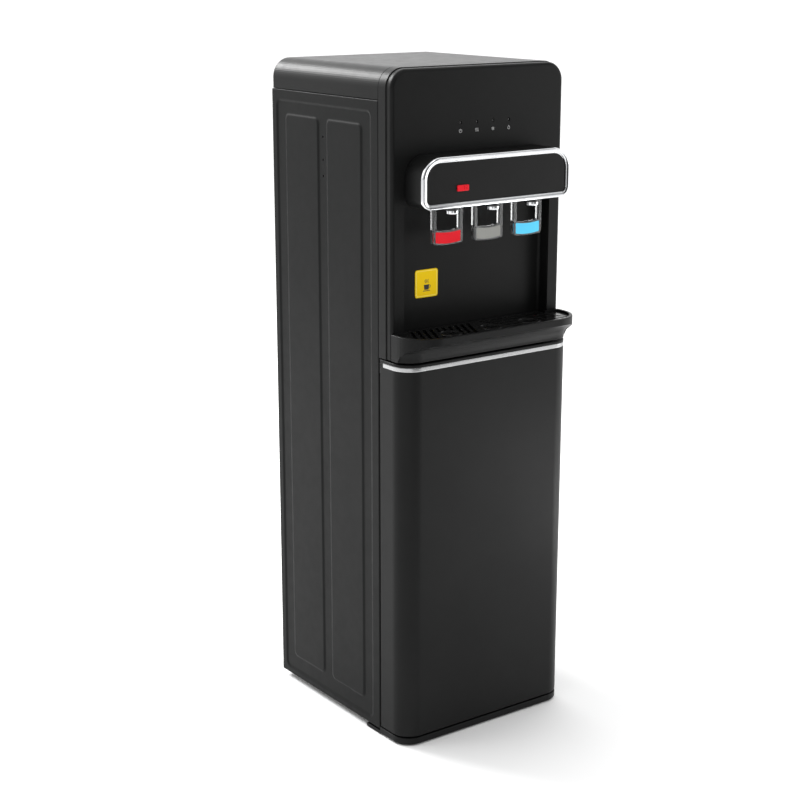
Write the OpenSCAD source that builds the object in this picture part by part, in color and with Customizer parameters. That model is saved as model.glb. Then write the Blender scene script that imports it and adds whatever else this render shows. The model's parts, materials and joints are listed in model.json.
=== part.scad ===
// Floor-standing water dispenser with a lower door for the bottle.
// +Z is up, the front faces -Y and +X is to the right seen from the front.
// The origin is on the floor, below the centre of the bounding box.

/* [Cabinet] */
// Width of the cabinet
body_w = 330; // [324:1:345]
// Height from the floor to the top of the cover
body_h = 1057; // [1052:1:1075]
// Depth of the side panels, front edge to back edge
cabinet_d = 294; // [292:1:310]
// Height of the seam between side panels and top cover
seam_z = 1010; // [1008:1:1014]
// Radius of the upper left and right corners
top_r = 30; // [24:1:34]
// Depth of the pressed frames in the side panels
emboss = 0.8; // [0.5:0.1:1]

/* [Front] */
// How far the bezel face stands in front of the side panels
face_reach = 32; // [30:1:33]
// How far the door stands in front of the side panels
door_reach = 67; // [64:1:69]
// How far the drip tray stands in front of the side panels
tray_reach = 98; // [94:1:100]
// Plan radius of the door's front corners
door_r = 32; // [28:1:36]
// Plan radius of the drip tray's front corners
tray_r = 50; // [46:1:54]
// Height of the door's top edge
door_top = 622.5; // [620:0.5:623]
// Height of the silver strip on the door
strip_h = 6.5; // [5:0.5:8]
// Width of the dispensing recess
recess_w = 282; // [280:1:284]

/* [Taps] */
// Distance between neighbouring taps
tap_pitch = 77; // [74:1:78]
// Width of a tap lever
lever_w = 55; // [52:1:56]
// Height of a lever's lower edge above the floor
lever_z = 796.5; // [796:0.5:806]
// Lower edge of the tap head
head_z0 = 855; // [854:1:857]
// Upper edge of the tap head
head_z1 = 931; // [929:1:934]
// Diameter of a spout
spout_d = 22; // [20:1:23]
// Width of the bright ring round the head
ring_w = 8; // [6:1:9]

/* [Drip tray] */
// Height of the tray's rim above the floor
rim_z = 666; // [665:0.5:667]
// Height of the rim band
rim_h = 11; // [9:1:12]
// Distance between neighbouring grille slots
slot_pitch = 12; // [11.5:0.5:14]
// Width of a grille slot
slot_w = 5; // [4:0.5:5.5]
// Angle of the grille slots from straight back
slot_angle = 25; // [15:1:30]

/* [Bottle space] */
// Diameter of the bottle that stands in it
bottle_d = 270; // [260:1:272]
// Height of the bottle floor
floor_z = 26; // [25:1:28]

/* [Hidden] */
$fn = 64;

// Main planes, measured from the origin
half_w = body_w / 2;
y_back = (cabinet_d + tray_reach) / 2;
y_seam = y_back - cabinet_d;
y_face = y_seam - face_reach;
y_step = y_seam - 19;
y_door = y_seam - door_reach;
y_tray = y_seam - tray_reach;
y_door_back = y_seam - 3.5;
y_recess = y_seam - 9;
y_plinth_back = y_seam + 37;

// Levels
plinth_z0 = 1.5;
plinth_z1 = 13;
panel_z0 = 9.5;
door_z0 = 15.2;
bezel_z0 = 625;
shelf_z = 600;
tank_shelf_z = 764;
recess_z0 = 628;
recess_z1 = 868;
tray_z0 = 625.6;

// Walls
sheet = 1.2;
wall = 2.5;
skin = 2;

// Door hinge
hinge_x = half_w - 8;
hinge_y = y_door_back - 11.5;
pin_r = 3;
run_fit = 0.06;

// Taps
tap_x = [-tap_pitch, 0, tap_pitch];
lever_y = y_face - 24;
lever_t = 8;
pivot_y = lever_y + 12;
pivot_z = 880;
spout_y = y_face - 31;
head_front = y_face - 42;
ring_front = y_face - 47;
lever_pin_r = 2;
hose_r = 5;
inlet_z = 903;

charcoal = [0.16, 0.16, 0.16];
steel = [0.7, 0.71, 0.72];

// ---------- shared shapes ----------

// Rectangle with four round corners, centred
module round_rect(w, h, r) {
    square([w - 2 * r, h], center = true);
    square([w, h - 2 * r], center = true);
    for (sx = [-1, 1], sy = [-1, 1])
        translate([sx * (w / 2 - r), sy * (h / 2 - r)])
            circle(r);
}

// Plan outline that is square at the back and round at the two front corners
module front_round(hw, y_rear, y_front, r) {
    intersection() {
        translate([-hw, y_front])
            square([2 * hw, y_rear - y_front]);
        union() {
            translate([-hw, y_front + r])
                square([2 * hw, y_rear - y_front]);
            translate([-hw + r, y_front])
                square([2 * (hw - r), y_rear - y_front]);
            for (sx = [-1, 1])
                translate([sx * (hw - r), y_front + r])
                    circle(r);
        }
    }
}

// Front-view outline that is square below and round at the two upper corners
module top_round(hw, z0, z1, r) {
    intersection() {
        translate([-hw, z0])
            square([2 * hw, z1 - z0]);
        union() {
            translate([-hw, z0 - r])
                square([2 * hw, z1 - z0]);
            translate([-hw + r, z0])
                square([2 * (hw - r), z1 - z0]);
            for (sx = [-1, 1])
                translate([sx * (hw - r), z1 - r])
                    circle(r);
        }
    }
}

// Front-view outline with different upper and lower corner radii
module head_outline(hw, z0, z1, r_top, r_low) {
    translate([-hw, z0 + r_low])
        square([2 * hw, z1 - z0 - r_low - r_top]);
    translate([-hw + r_top, z1 - r_top - 1])
        square([2 * (hw - r_top), r_top + 1]);
    translate([-hw + r_low, z0])
        square([2 * (hw - r_low), r_low + 1]);
    for (sx = [-1, 1]) {
        translate([sx * (hw - r_top), z1 - r_top])
            circle(r_top);
        translate([sx * (hw - r_low), z0 + r_low])
            circle(r_low);
    }
}

// Extrudes a front-view outline, drawn in X and Z, from y0 to y1
module front_extrude(y0, y1) {
    translate([0, y1, 0])
        rotate([90, 0, 0])
            linear_extrude(y1 - y0)
                children();
}

// Extrudes a side-view outline, drawn in Y and Z, from x0 to x1
module side_extrude(x0, x1) {
    translate([x0, 0, 0])
        rotate([90, 0, 90])
            linear_extrude(x1 - x0)
                children();
}

// Box between two corners
module box(low, high) {
    translate(low)
        cube(high - low);
}

// Upright ring
module ring(r_out, r_in, z0, z1) {
    translate([0, 0, z0])
        linear_extrude(z1 - z0)
            difference() {
                circle(r_out);
                circle(r_in);
            }
}

// ---------- swept tubes ----------

function unit(v) = v / norm(v);

// Point on a smooth curve through the points p at position t, from 0 to len(p) - 1
function on_curve(p, t) =
    let (
        n = len(p) - 1,
        i = min(floor(t), n - 1),
        u = t - i,
        a = p[max(i - 1, 0)],
        b = p[i],
        c = p[i + 1],
        d = p[min(i + 2, n)]
    )
    0.5 * (2 * b + (c - a) * u + (2 * a - 5 * b + 4 * c - d) * u * u
        + (3 * b - a - 3 * c + d) * u * u * u);

// Tube of radius r along the route p, with the given rings and sides
module swept_tube(p, r, rings, sides) {
    n = len(p) - 1;
    path = [for (i = [0:rings]) on_curve(p, n * i / rings)];
    points = [
        for (i = [0:rings])
            let (
                ahead = unit(path[min(i + 1, rings)] - path[max(i - 1, 0)]),
                side = unit(cross(ahead, [1, 0.02, 0])),
                up = cross(side, ahead)
            )
            for (k = [0:sides - 1])
                path[i] + r * (cos(360 * k / sides) * side + sin(360 * k / sides) * up)
    ];
    faces = concat(
        [[for (k = [sides - 1:-1:0]) k]],
        [[for (k = [0:sides - 1]) rings * sides + k]],
        [
            for (i = [0:rings - 1], k = [0:sides - 1])
                let (m = (k + 1) % sides)
                each [
                    [i * sides + k, (i + 1) * sides + m, (i + 1) * sides + k],
                    [i * sides + k, i * sides + m, (i + 1) * sides + m]
                ]
        ]
    );
    polyhedron(points, faces);
}

// ---------- base and shell ----------

module base_plate() {
    color(charcoal)
        difference() {
            union() {
                box([-half_w + 2, y_seam + 1.4, panel_z0], [half_w - 2, y_back - 4, panel_z0 + 1.3]);
                for (sx = [-1, 1])
                    translate([sx * (half_w - 2.6), 0, 0])
                        box([-0.6, y_seam + 1.4, panel_z0], [0.6, y_back - 6, panel_z0 + 12]);
            }
            for (sx = [-1, 1])
                translate([sx * 135, y_back - 31, panel_z0 - 1])
                    cylinder(r = 3, h = 4);
        }
}

module front_plinth() {
    color(charcoal)
        difference() {
            union() {
                translate([0, 0, plinth_z0])
                    linear_extrude(plinth_z1 - plinth_z0)
                        front_round(half_w, y_seam - 0.2, y_door, door_r);
                box([-half_w, y_seam - 1, plinth_z0], [half_w, y_plinth_back, panel_z0 - 0.2]);
            }
            translate([0, 0, plinth_z0 - 1])
                linear_extrude(plinth_z1 - plinth_z0 - wall + 1)
                    front_round(half_w - wall, y_seam - 0.2 - wall, y_door + wall, door_r - wall);
            box([-half_w + wall, y_seam - 3, plinth_z0 - 1],
                [half_w - wall, y_plinth_back - wall, panel_z0 - 0.2 - wall]);
        }
}

// Four fixed feet that the cabinet glides and stands on
module glide_feet() {
    color([0.1, 0.1, 0.1])
        for (sx = [-1, 1]) {
            translate([sx * 122, y_face + 2, 0])
                cylinder(r = 13, h = plinth_z1 - wall);
            translate([sx * 135, y_back - 31, 0]) {
                cylinder(r = 13, h = panel_z0 - 0.1);
                cylinder(r = 2.9, h = panel_z0 + 3);
            }
        }
}

// Pressed frames of a side panel, in Y and Z
module frame_outline(grow = 0) {
    y0 = y_seam + 20 - grow;
    y1 = y_back - 14 + grow;
    z0 = 21 - grow;
    z1 = seam_z - 17 + grow;
    translate([(y0 + y1) / 2, (z0 + z1) / 2])
        round_rect(y1 - y0, z1 - z0, 9);
}

module inner_outlines() {
    z0 = 48;
    z1 = seam_z - 38;
    y_mid = (y_seam + y_back) / 2 + 2.5;
    for (s = [-1, 1])
        translate([y_mid + s * 58.5, (z0 + z1) / 2])
            round_rect(94, z1 - z0, 9);
}

// Left panel; the right one is its mirror image
module side_panel() {
    x0 = -half_w;
    y_mid = (y_seam + y_back) / 2 + 2.5;
    difference() {
        union() {
            side_extrude(x0, x0 + sheet)
                difference() {
                    translate([y_seam, panel_z0])
                        square([cabinet_d, seam_z - 0.4 - panel_z0]);
                    frame_outline();
                }
            side_extrude(x0 + emboss, x0 + emboss + sheet)
                difference() {
                    frame_outline(0.4);
                    inner_outlines();
                }
            side_extrude(x0, x0 + emboss + 0.4)
                inner_outlines();
            box([x0, y_seam, panel_z0], [x0 + 12, y_seam + sheet, bezel_z0 - 25]);
            box([x0, y_back - 3.5, panel_z0], [x0 + 12, y_back - 3.5 + sheet, seam_z - 0.4]);
        }
        for (z = [884, 909, 944])
            translate([x0 - 1, y_mid, z])
                rotate([0, 90, 0])
                    cylinder(r = 1.6, h = 5);
    }
}

module side_panel_left() {
    color(charcoal)
        side_panel();
}

module side_panel_right() {
    color(charcoal)
        mirror([1, 0, 0])
            side_panel();
}

// Back panel: a sheet set in from the back edge, with side returns
panel_y = y_back - 21;
module back_panel() {
    color(charcoal)
        difference() {
            union() {
                box([-151, panel_y, 11.2], [151, panel_y + 1, seam_z]);
                for (sx = [-1, 1])
                    mirror([sx > 0 ? 1 : 0, 0, 0]) {
                        box([-151, panel_y, 11.2], [-150, y_back - 3.7, seam_z]);
                        box([-half_w + 1.6, y_back - 4.7, 11.2], [-150, y_back - 3.7, seam_z]);
                    }
            }
            // Louvre slots beside the compressor
            for (k = [0:8])
                translate([-100, panel_y - 1, 622 + 13 * k])
                    front_extrude(0, 3)
                        round_rect(70, 5, 2.45);
            // Switch, gland, drain and condenser openings
            for (z = [905, 945])
                box([117.8, panel_y - 1, z - 12.2], [136.2, panel_y + 2, z + 12.2]);
            translate([127, panel_y + 2, 640])
                rotate([90, 0, 0])
                    cylinder(r = 8.05, h = 4);
            translate([127, panel_y + 2, 700])
                rotate([90, 0, 0])
                    cylinder(r = 8.05, h = 4);
        }
}

// Screws of the back edge, five a side
module panel_screws() {
    color(steel)
        for (sx = [-1, 1], z = [60, 290, 520, 750, 980])
            translate([sx * (half_w - 7), y_back - 2.2, z])
                rotate([-90, 0, 0])
                    difference() {
                        cylinder(r = 3.6, h = 1.9);
                        // Cross recess
                        translate([0, 0, 1.9]) {
                            cube([3.6, 0.8, 1.6], center = true);
                            cube([0.8, 3.6, 1.6], center = true);
                        }
                    }
}

module top_cover() {
    color([0.24, 0.24, 0.24])
        union() {
            difference() {
                front_extrude(y_seam - 0.1, y_back)
                    top_round(half_w, seam_z + 0.6, body_h, top_r);
                front_extrude(y_seam - 1, y_back - wall)
                    top_round(half_w - wall, seam_z - 1, body_h - wall, top_r - wall);
            }
            // Ledge over the space behind the back panel
            box([-half_w + 1, panel_y - 3, seam_z + 0.6], [half_w - 1, y_back - 1, seam_z + 3]);
        }
}

// ---------- bezel and recess ----------

lamp_x = [-37, -6, 25, 56];
lamp_z = 973;

module front_bezel() {
    color(charcoal)
        difference() {
            union() {
                front_extrude(y_step, y_seam - 0.3)
                    top_round(half_w, bezel_z0, body_h, top_r);
                front_extrude(y_face, y_step + 0.1)
                    top_round(half_w - 1.5, bezel_z0, body_h - 1.5, top_r - 1.5);
            }
            front_extrude(y_face + 3, y_seam + 1)
                top_round(half_w - wall - 1.5, bezel_z0 + 3, body_h - wall - 1.5, top_r - wall - 1.5);
            // Dispensing recess
            box([-recess_w / 2, y_face - 1, recess_z0], [recess_w / 2, y_face + 4, recess_z1]);
            // Way for the tap hoses
            box([-110, y_face - 1, 890], [110, y_face + 4, 917]);
            for (x = lamp_x)
                translate([x, y_face + 4, lamp_z])
                    rotate([90, 0, 0])
                        cylinder(r = 2.8, h = 6);
        }
}

module recess_liner() {
    rear_r = 10;
    hw = recess_w / 2;
    color([0.13, 0.13, 0.13])
        union() {
            translate([0, 0, recess_z0 + 0.2])
                linear_extrude(recess_z1 + 2 - recess_z0)
                    difference() {
                        translate([-hw - 2, y_face + 3.2])
                            square([recess_w + 4, y_recess + 2 - y_face - 3.2]);
                        translate([-hw, y_face + 2])
                            square([recess_w, y_recess - rear_r - y_face - 2]);
                        translate([-hw + rear_r, y_face + 2])
                            square([recess_w - 2 * rear_r, y_recess - y_face - 2]);
                        for (sx = [-1, 1])
                            translate([sx * (hw - rear_r), y_recess - rear_r])
                                circle(rear_r);
                    }
            box([-hw - 2, y_face + 3.2, recess_z1 + 0.2],
                [hw + 2, y_recess + 2, recess_z1 + 2.2]);
        }
}

module caution_plate() {
    color([0.92, 0.8, 0.05])
        front_extrude(y_recess - 0.8, y_recess)
            translate([-82.5, 731.5])
                round_rect(43, 43, 4);
}

port_x = -100;
port_y = -50;

module shelf_plate() {
    color(steel)
        difference() {
            union() {
                box([-half_w + 2.4, y_seam + 2, shelf_z], [half_w - 2.4, panel_y - 0.3, shelf_z + 1.5]);
                box([-half_w + 2.4, y_seam + 1, shelf_z], [half_w - 2.4, y_seam + 2.2, shelf_z + 60]);
            }
            translate([port_x, port_y, shelf_z - 1])
                cylinder(r = 7, h = 4);
        }
}

module tank_shelf() {
    color(steel)
        difference() {
            union() {
                box([-half_w + 2.4, y_seam + 2, tank_shelf_z],
                    [half_w - 2.4, panel_y - 25, tank_shelf_z + 1.5]);
                for (sx = [-1, 1])
                    mirror([sx > 0 ? 1 : 0, 0, 0])
                        box([-half_w + 2.4, y_seam + 2, tank_shelf_z - 15],
                            [-half_w + 3.6, panel_y - 25, tank_shelf_z + 1]);
            }
            translate([-60, -40, tank_shelf_z - 1])
                cylinder(r = 12, h = 4);
        }
}

// ---------- bottle space ----------

liner_hw = 152;
liner_y = panel_y - 12;
liner_z1 = shelf_z - 0.3;

module liner_side(sx) {
    x0 = sx > 0 ? liner_hw - 2 : -liner_hw;
    box([x0, y_seam + 2, floor_z + 0.2], [x0 + 2, liner_y - 0.2, liner_z1]);
}

module liner_left() {
    color([0.85, 0.85, 0.85])
        liner_side(-1);
}

module liner_right() {
    color([0.85, 0.85, 0.85])
        liner_side(1);
}

module liner_back() {
    color([0.85, 0.85, 0.85])
        box([-liner_hw, liner_y, floor_z + 0.2], [liner_hw, liner_y + 2, liner_z1]);
}

module bottle_floor() {
    color([0.3, 0.3, 0.3])
        difference() {
            box([-half_w + 4, y_seam + 2, panel_z0 + 1.5], [half_w - 4, panel_y - 4, floor_z]);
            box([-half_w + 7, y_seam + 5, panel_z0], [half_w - 7, panel_y - 7, floor_z - 5]);
            translate([0, 20, floor_z - 2])
                cylinder(r = bottle_d / 2 + 2, h = 5, $fn = 96);
        }
}

// ---------- tap head ----------

module head_shell_outline(inset) {
    head_outline(140 - inset, head_z0 + inset, head_z1 - inset, 32 - inset, 14 - inset);
}

module head_housing() {
    color(charcoal)
        difference() {
            union() {
                difference() {
                    front_extrude(head_front + 0.2, y_face - 0.1)
                        head_shell_outline(0);
                    front_extrude(head_front - 1, y_face + 1)
                        head_shell_outline(wall);
                }
                // Cheeks that hold the lever pins
                for (x = tap_x, s = [-1, 1])
                    translate([x + s * (lever_w / 2 + 3), 0, 0])
                        box([-1.2, head_front + 8, head_z0 + 1], [1.2, y_face - 0.1, pivot_z + 9]);
            }
            for (x = tap_x) {
                // Slot for the lever's arms and hole for the spout
                box([x - lever_w / 2 - 1, lever_y - 1.5, head_z0 - 1],
                    [x + lever_w / 2 + 1, y_face - 5, head_z0 + wall + 1]);
                translate([x, spout_y, head_z0 - 1])
                    cylinder(r = spout_d / 2 + 0.5, h = 5);
                translate([x - 40, pivot_y, pivot_z])
                    rotate([0, 90, 0])
                        cylinder(r = lever_pin_r + run_fit, h = 80);
            }
        }
}

lock_x = -67;
lock_z = 883;
lock_travel = 6;

module head_plate() {
    color([0.12, 0.12, 0.12])
        difference() {
            front_extrude(head_front - 3, head_front)
                head_shell_outline(ring_w - 0.6);
            box([lock_x - 5.3, head_front - 4, lock_z - 3.3],
                [lock_x + 5.3 + lock_travel, head_front + 1, lock_z + 3.3]);
        }
}

module head_ring() {
    color([0.85, 0.86, 0.88])
        front_extrude(ring_front, head_front)
            difference() {
                head_outline(141, head_z0 - 1, head_z1 - 0.5, 33, 15);
                head_shell_outline(ring_w - 0.8);
            }
}

// Cap over the plate, neck through its slot and a keeper behind
module lock_slider() {
    color([0.85, 0.1, 0.14])
        union() {
            front_extrude(head_front - 5, head_front - 3.2)
                translate([lock_x, lock_z])
                    round_rect(21.5, 9, 1.5);
            box([lock_x - 5, head_front - 3.5, lock_z - 3], [lock_x + 5, head_front + 1.5, lock_z + 3]);
            box([lock_x - 9, head_front + 0.3, lock_z - 7], [lock_x + 9, head_front + 1.8, lock_z + 7]);
            // Grip ribs
            for (dx = [2.5, 7.5])
                box([lock_x + dx - 0.6, head_front - 5.7, lock_z - 3.2],
                    [lock_x + dx + 0.6, head_front - 4.8, lock_z + 3.2]);
        }
}

module lamp_board() {
    color([0.1, 0.35, 0.2])
        box([-60, y_face + 11, lamp_z - 14], [80, y_face + 12.6, lamp_z + 14]);
}

// Light pipes from the board to the face
module indicator_lamps() {
    color([0.7, 0.75, 0.7])
        for (x = lamp_x)
            translate([x, y_face + 10.9, lamp_z])
                rotate([90, 0, 0]) {
                    cylinder(r = 2.5, h = 10.1);
                    cylinder(r = 3.6, h = 7);
                }
}

// Tap: upright valve with its spout below and its hose barb behind
module tap(x) {
    difference() {
        union() {
            translate([x, spout_y, head_z0 + 3])
                cylinder(r = spout_d / 2 - 2.5, h = 57);
            translate([x, spout_y, head_z0 - 11])
                cylinder(r1 = spout_d / 2 - 1.5, r2 = spout_d / 2, h = 14.1);
            translate([x, y_face + 10, inlet_z])
                rotate([90, 0, 0])
                    cylinder(r = 6, h = 36);
            translate([x, spout_y, head_z0 + 59])
                cylinder(r = 6, h = 6);
        }
        translate([x, spout_y, head_z0 - 12])
            cylinder(r = 6, h = 57);
        translate([x, y_face + 11, inlet_z])
            rotate([90, 0, 0])
                cylinder(r = 3.5, h = 40);
    }
}

module tap_hot() {
    color([0.2, 0.2, 0.2])
        tap(tap_x[0]);
}

module tap_normal() {
    color([0.2, 0.2, 0.2])
        tap(tap_x[1]);
}

module tap_cold() {
    color([0.2, 0.2, 0.2])
        tap(tap_x[2]);
}

// Window between a lever's arms, open from z0 to the pivot, with a curved lower edge
module lever_window(w, z0) {
    translate([-w / 2, z0])
        square([w, pivot_z + 3 - z0]);
    intersection() {
        translate([0, z0 + 80 - 2.5])
            circle(80, $fn = 128);
        translate([-w / 2, z0 - 3])
            square([w, 4]);
    }
}

// Clear lever: two arms on a hub, joined below by the paddle
module lever(x) {
    arm = 5.5;
    difference() {
        union() {
            front_extrude(lever_y, lever_y + lever_t)
                translate([x, 0])
                    difference() {
                        union() {
                            translate([-lever_w / 2 + 4, lever_z])
                                square([lever_w - 8, pivot_z - lever_z]);
                            translate([-lever_w / 2, lever_z + 4])
                                square([lever_w, pivot_z - lever_z - 4]);
                            for (s = [-1, 1])
                                translate([s * (lever_w / 2 - 4), lever_z + 4])
                                    circle(4);
                        }
                        lever_window(lever_w - 2 * arm, lever_z + 22.5);
                    }
            // Ears from the arms back to the hub
            for (s = [-1, 1])
                translate([x + s * (lever_w / 2 - arm / 2), 0, 0])
                    box([-arm / 2, lever_y, pivot_z - 6], [arm / 2, pivot_y + 1, pivot_z + 5]);
            translate([x - lever_w / 2, pivot_y, pivot_z])
                rotate([0, 90, 0])
                    cylinder(r = 6, h = arm);
            translate([x - 12, pivot_y, pivot_z])
                rotate([0, 90, 0])
                    cylinder(r = 5, h = lever_w / 2 + 12 - 1);
            translate([x + lever_w / 2 - arm, pivot_y, pivot_z])
                rotate([0, 90, 0])
                    cylinder(r = 6, h = arm);
        }
        translate([x - lever_w, pivot_y, pivot_z])
            rotate([0, 90, 0])
                cylinder(r = lever_pin_r + run_fit, h = 2 * lever_w);
        // Pocket for the coloured insert
        front_extrude(lever_y - 1, lever_y + 2.5)
            translate([x, 0])
                insert_outline(0);
    }
}

module insert_outline(inset) {
    w = lever_w - 8 - 2 * inset;
    z0 = lever_z + 2 + inset;
    z1 = lever_z + 19.5 - inset;
    difference() {
        translate([0, (z0 + z1) / 2])
            round_rect(w, z1 - z0, 1.5);
        translate([0, z1 + 80 - 2])
            circle(80, $fn = 128);
    }
}

module insert(x) {
    front_extrude(lever_y + 0.1, lever_y + 2.4)
        translate([x, 0])
            insert_outline(0.1);
}

module lever_hot() {
    color([0.9, 0.92, 0.95, 0.4])
        lever(tap_x[0]);
}

module lever_normal() {
    color([0.9, 0.92, 0.95, 0.4])
        lever(tap_x[1]);
}

module lever_cold() {
    color([0.9, 0.92, 0.95, 0.4])
        lever(tap_x[2]);
}

module insert_hot() {
    color([0.88, 0.1, 0.14])
        insert(tap_x[0]);
}

module insert_normal() {
    color([0.6, 0.6, 0.58])
        insert(tap_x[1]);
}

module insert_cold() {
    color([0.3, 0.7, 0.9])
        insert(tap_x[2]);
}

module lever_pins() {
    color(steel)
        for (x = tap_x)
            translate([x - lever_w / 2 - 4.2, pivot_y, pivot_z])
                rotate([0, 90, 0])
                    cylinder(r = lever_pin_r, h = lever_w + 8.4);
}

// Return springs round the pins, beside the hub
module lever_springs() {
    color(steel)
        for (x = tap_x, k = [0:4])
            translate([x - 20.5 + k * 1.7, pivot_y, pivot_z])
                rotate([0, 90, 0])
                    rotate_extrude()
                        translate([3.6, 0])
                            circle(0.6, $fn = 16);
}

// ---------- drip tray ----------

cove = 29;
tray_back = y_face - 0.4;
arc_steps = 10;

// Plan outline as points: left side, left corner, right corner, right side
function tray_outline(y_front, r) = concat(
    [[-half_w, tray_back]],
    [
        for (k = [0:arc_steps])
            let (a = 180 + 90 * k / arc_steps)
            [-half_w + r + r * cos(a), y_front + r + r * sin(a)]
    ],
    [
        for (k = [0:arc_steps])
            let (a = 270 + 90 * k / arc_steps)
            [half_w - r + r * cos(a), y_front + r + r * sin(a)]
    ],
    [[half_w, tray_back]]
);

// Outer body: narrow below, hollowed front, full width at the rim
module tray_body() {
    low = tray_outline(y_door, door_r);
    high = tray_outline(y_tray, tray_r);
    n = len(low);
    steps = 7;
    rings = concat(
        [for (i = [0:steps]) let (a = 90 * i / steps) [1 - cos(a), tray_z0 + cove * sin(a)]],
        [[1, rim_z]]
    );
    points = [
        for (q = rings, i = [0:n - 1])
            [
                low[i][0] + (high[i][0] - low[i][0]) * q[0],
                low[i][1] + (high[i][1] - low[i][1]) * q[0],
                q[1]
            ]
    ];
    last = len(rings) - 1;
    faces = concat(
        [[for (i = [0:n - 1]) i]],
        [[for (i = [n - 1:-1:0]) last * n + i]],
        [
            for (j = [0:last - 1], i = [0:n - 1])
                let (m = (i + 1) % n)
                each [
                    [j * n + i, (j + 1) * n + i, (j + 1) * n + m],
                    [j * n + i, (j + 1) * n + m, j * n + m]
                ]
        ]
    );
    polyhedron(points, faces);
}

tongue_hw = recess_w / 2 - 4;
tongue_back = y_recess - 3;
ledge_z = rim_z - 8;

module drip_tray() {
    color(charcoal)
        difference() {
            union() {
                tray_body();
                box([-tongue_hw, tray_back - 3, bezel_z0 + 3.6], [tongue_hw, tongue_back, rim_z - 4]);
            }
            // Seat of the grille
            translate([0, 0, ledge_z])
                linear_extrude(20)
                    front_round(half_w - 5, tray_back - 3, y_tray + 5, tray_r - 5);
            box([-tongue_hw + 3, tray_back - 10, ledge_z], [tongue_hw - 3, tongue_back - 3, rim_z + 10]);
            // Basin
            translate([0, 0, bezel_z0 + 7])
                linear_extrude(50)
                    front_round(half_w - 9, tray_back - 3, y_door + 4, door_r - 4);
            box([-tongue_hw + 6, tray_back - 10, bezel_z0 + 7],
                [tongue_hw - 6, tongue_back - 6, rim_z + 10]);
        }
}

// One slanted slot with round ends, from its rear end forward
module grille_slot(length) {
    translate([0, -length / 2])
        square([slot_w, length - slot_w], center = true);
    for (y = [-slot_w / 2, -length + slot_w / 2])
        translate([0, y])
            circle(slot_w / 2, $fn = 20);
}

module drip_grille() {
    z0 = ledge_z + 0.3;
    slot_len = 66;
    color([0.15, 0.15, 0.15])
        union() {
            difference() {
                translate([0, 0, z0])
                    linear_extrude(4) {
                        front_round(half_w - 5.6, tray_back - 3.6, y_tray + 5.6, tray_r - 5.6);
                        translate([-tongue_hw + 3.6, tray_back - 10])
                            square([2 * tongue_hw - 7.2, tongue_back - tray_back + 6.4]);
                    }
                translate([0, 0, z0 - 1])
                    linear_extrude(6)
                        difference() {
                            for (s = [-1, 1], k = [0:8])
                                translate([s * (18 + slot_pitch * k), tongue_back - 7])
                                    rotate(s * slot_angle)
                                        grille_slot(slot_len);
                            for (x = tap_x)
                                translate([x, spout_y])
                                    circle(18);
                        }
                translate([0, 0, z0 - 1])
                    linear_extrude(6)
                        for (x = tap_x, k = [-1, 0, 1])
                            translate([x + 7 * k, spout_y + 9 - abs(k)])
                                grille_slot(18 - 2 * abs(k));
            }
            for (x = tap_x)
                translate([x, spout_y, 0])
                    ring(17.5, 15, z0 + 3.5, z0 + 5);
        }
}

// ---------- door ----------

strip_z1 = door_top - 4.5;

module door_skin() {
    z1 = door_top;
    color([0.14, 0.14, 0.14])
        difference() {
            translate([0, 0, door_z0])
                linear_extrude(z1 - door_z0)
                    front_round(half_w, y_door_back, y_door, door_r);
            translate([0, 0, door_z0 + skin])
                linear_extrude(z1 - door_z0 - 2 * skin)
                    front_round(half_w - skin, y_door_back + 5, y_door + skin, door_r - skin);
            // Groove for the strip
            translate([0, 0, strip_z1 - strip_h])
                linear_extrude(strip_h)
                    difference() {
                        front_round(half_w + 5, y_door_back - 7.5, y_door - 5, door_r + 5);
                        front_round(half_w - 0.9, y_door_back, y_door + 0.9, door_r - 0.9);
                    }
            translate([hinge_x, hinge_y, door_z0 - 1])
                cylinder(r = pin_r + 0.5, h = 4);
            translate([hinge_x, hinge_y, z1 - 3])
                cylinder(r = pin_r + 0.5, h = 4);
        }
}

module door_liner() {
    gap = skin + 0.2;
    color([0.8, 0.8, 0.8])
        difference() {
            translate([0, 0, door_z0 + gap])
                linear_extrude(door_top - door_z0 - 2 * gap)
                    front_round(half_w - gap, y_door_back, y_door + gap, door_r - gap);
            translate([0, 0, door_z0 + 14])
                linear_extrude(door_top - door_z0 - 28)
                    front_round(half_w - 13, y_door_back + 5, y_door + 15, 18);
            translate([hinge_x, hinge_y, door_z0])
                cylinder(r = pin_r + run_fit, h = 13);
            translate([hinge_x, hinge_y, door_top - 13])
                cylinder(r = pin_r + run_fit, h = 13);
            // Seats of the magnets
            for (z = [120, door_top - 40])
                box([-half_w + 4.9, y_door_back - 6, z - 15.1], [-half_w + 10.1, y_door_back + 1, z + 15.1]);
        }
}

module door_strip() {
    color([0.82, 0.83, 0.84])
        translate([0, 0, strip_z1 - strip_h + 0.1])
            linear_extrude(strip_h - 0.2)
                difference() {
                    front_round(half_w, y_door_back - 7.6, y_door, door_r);
                    front_round(half_w - 0.8, y_door_back, y_door + 0.8, door_r - 0.8);
                }
}

module door_magnets() {
    color([0.2, 0.2, 0.2])
        for (z = [120, door_top - 40])
            box([-half_w + 5, y_door_back - 5.9, z - 15], [-half_w + 10, y_seam - 0.4, z + 15]);
}

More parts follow.
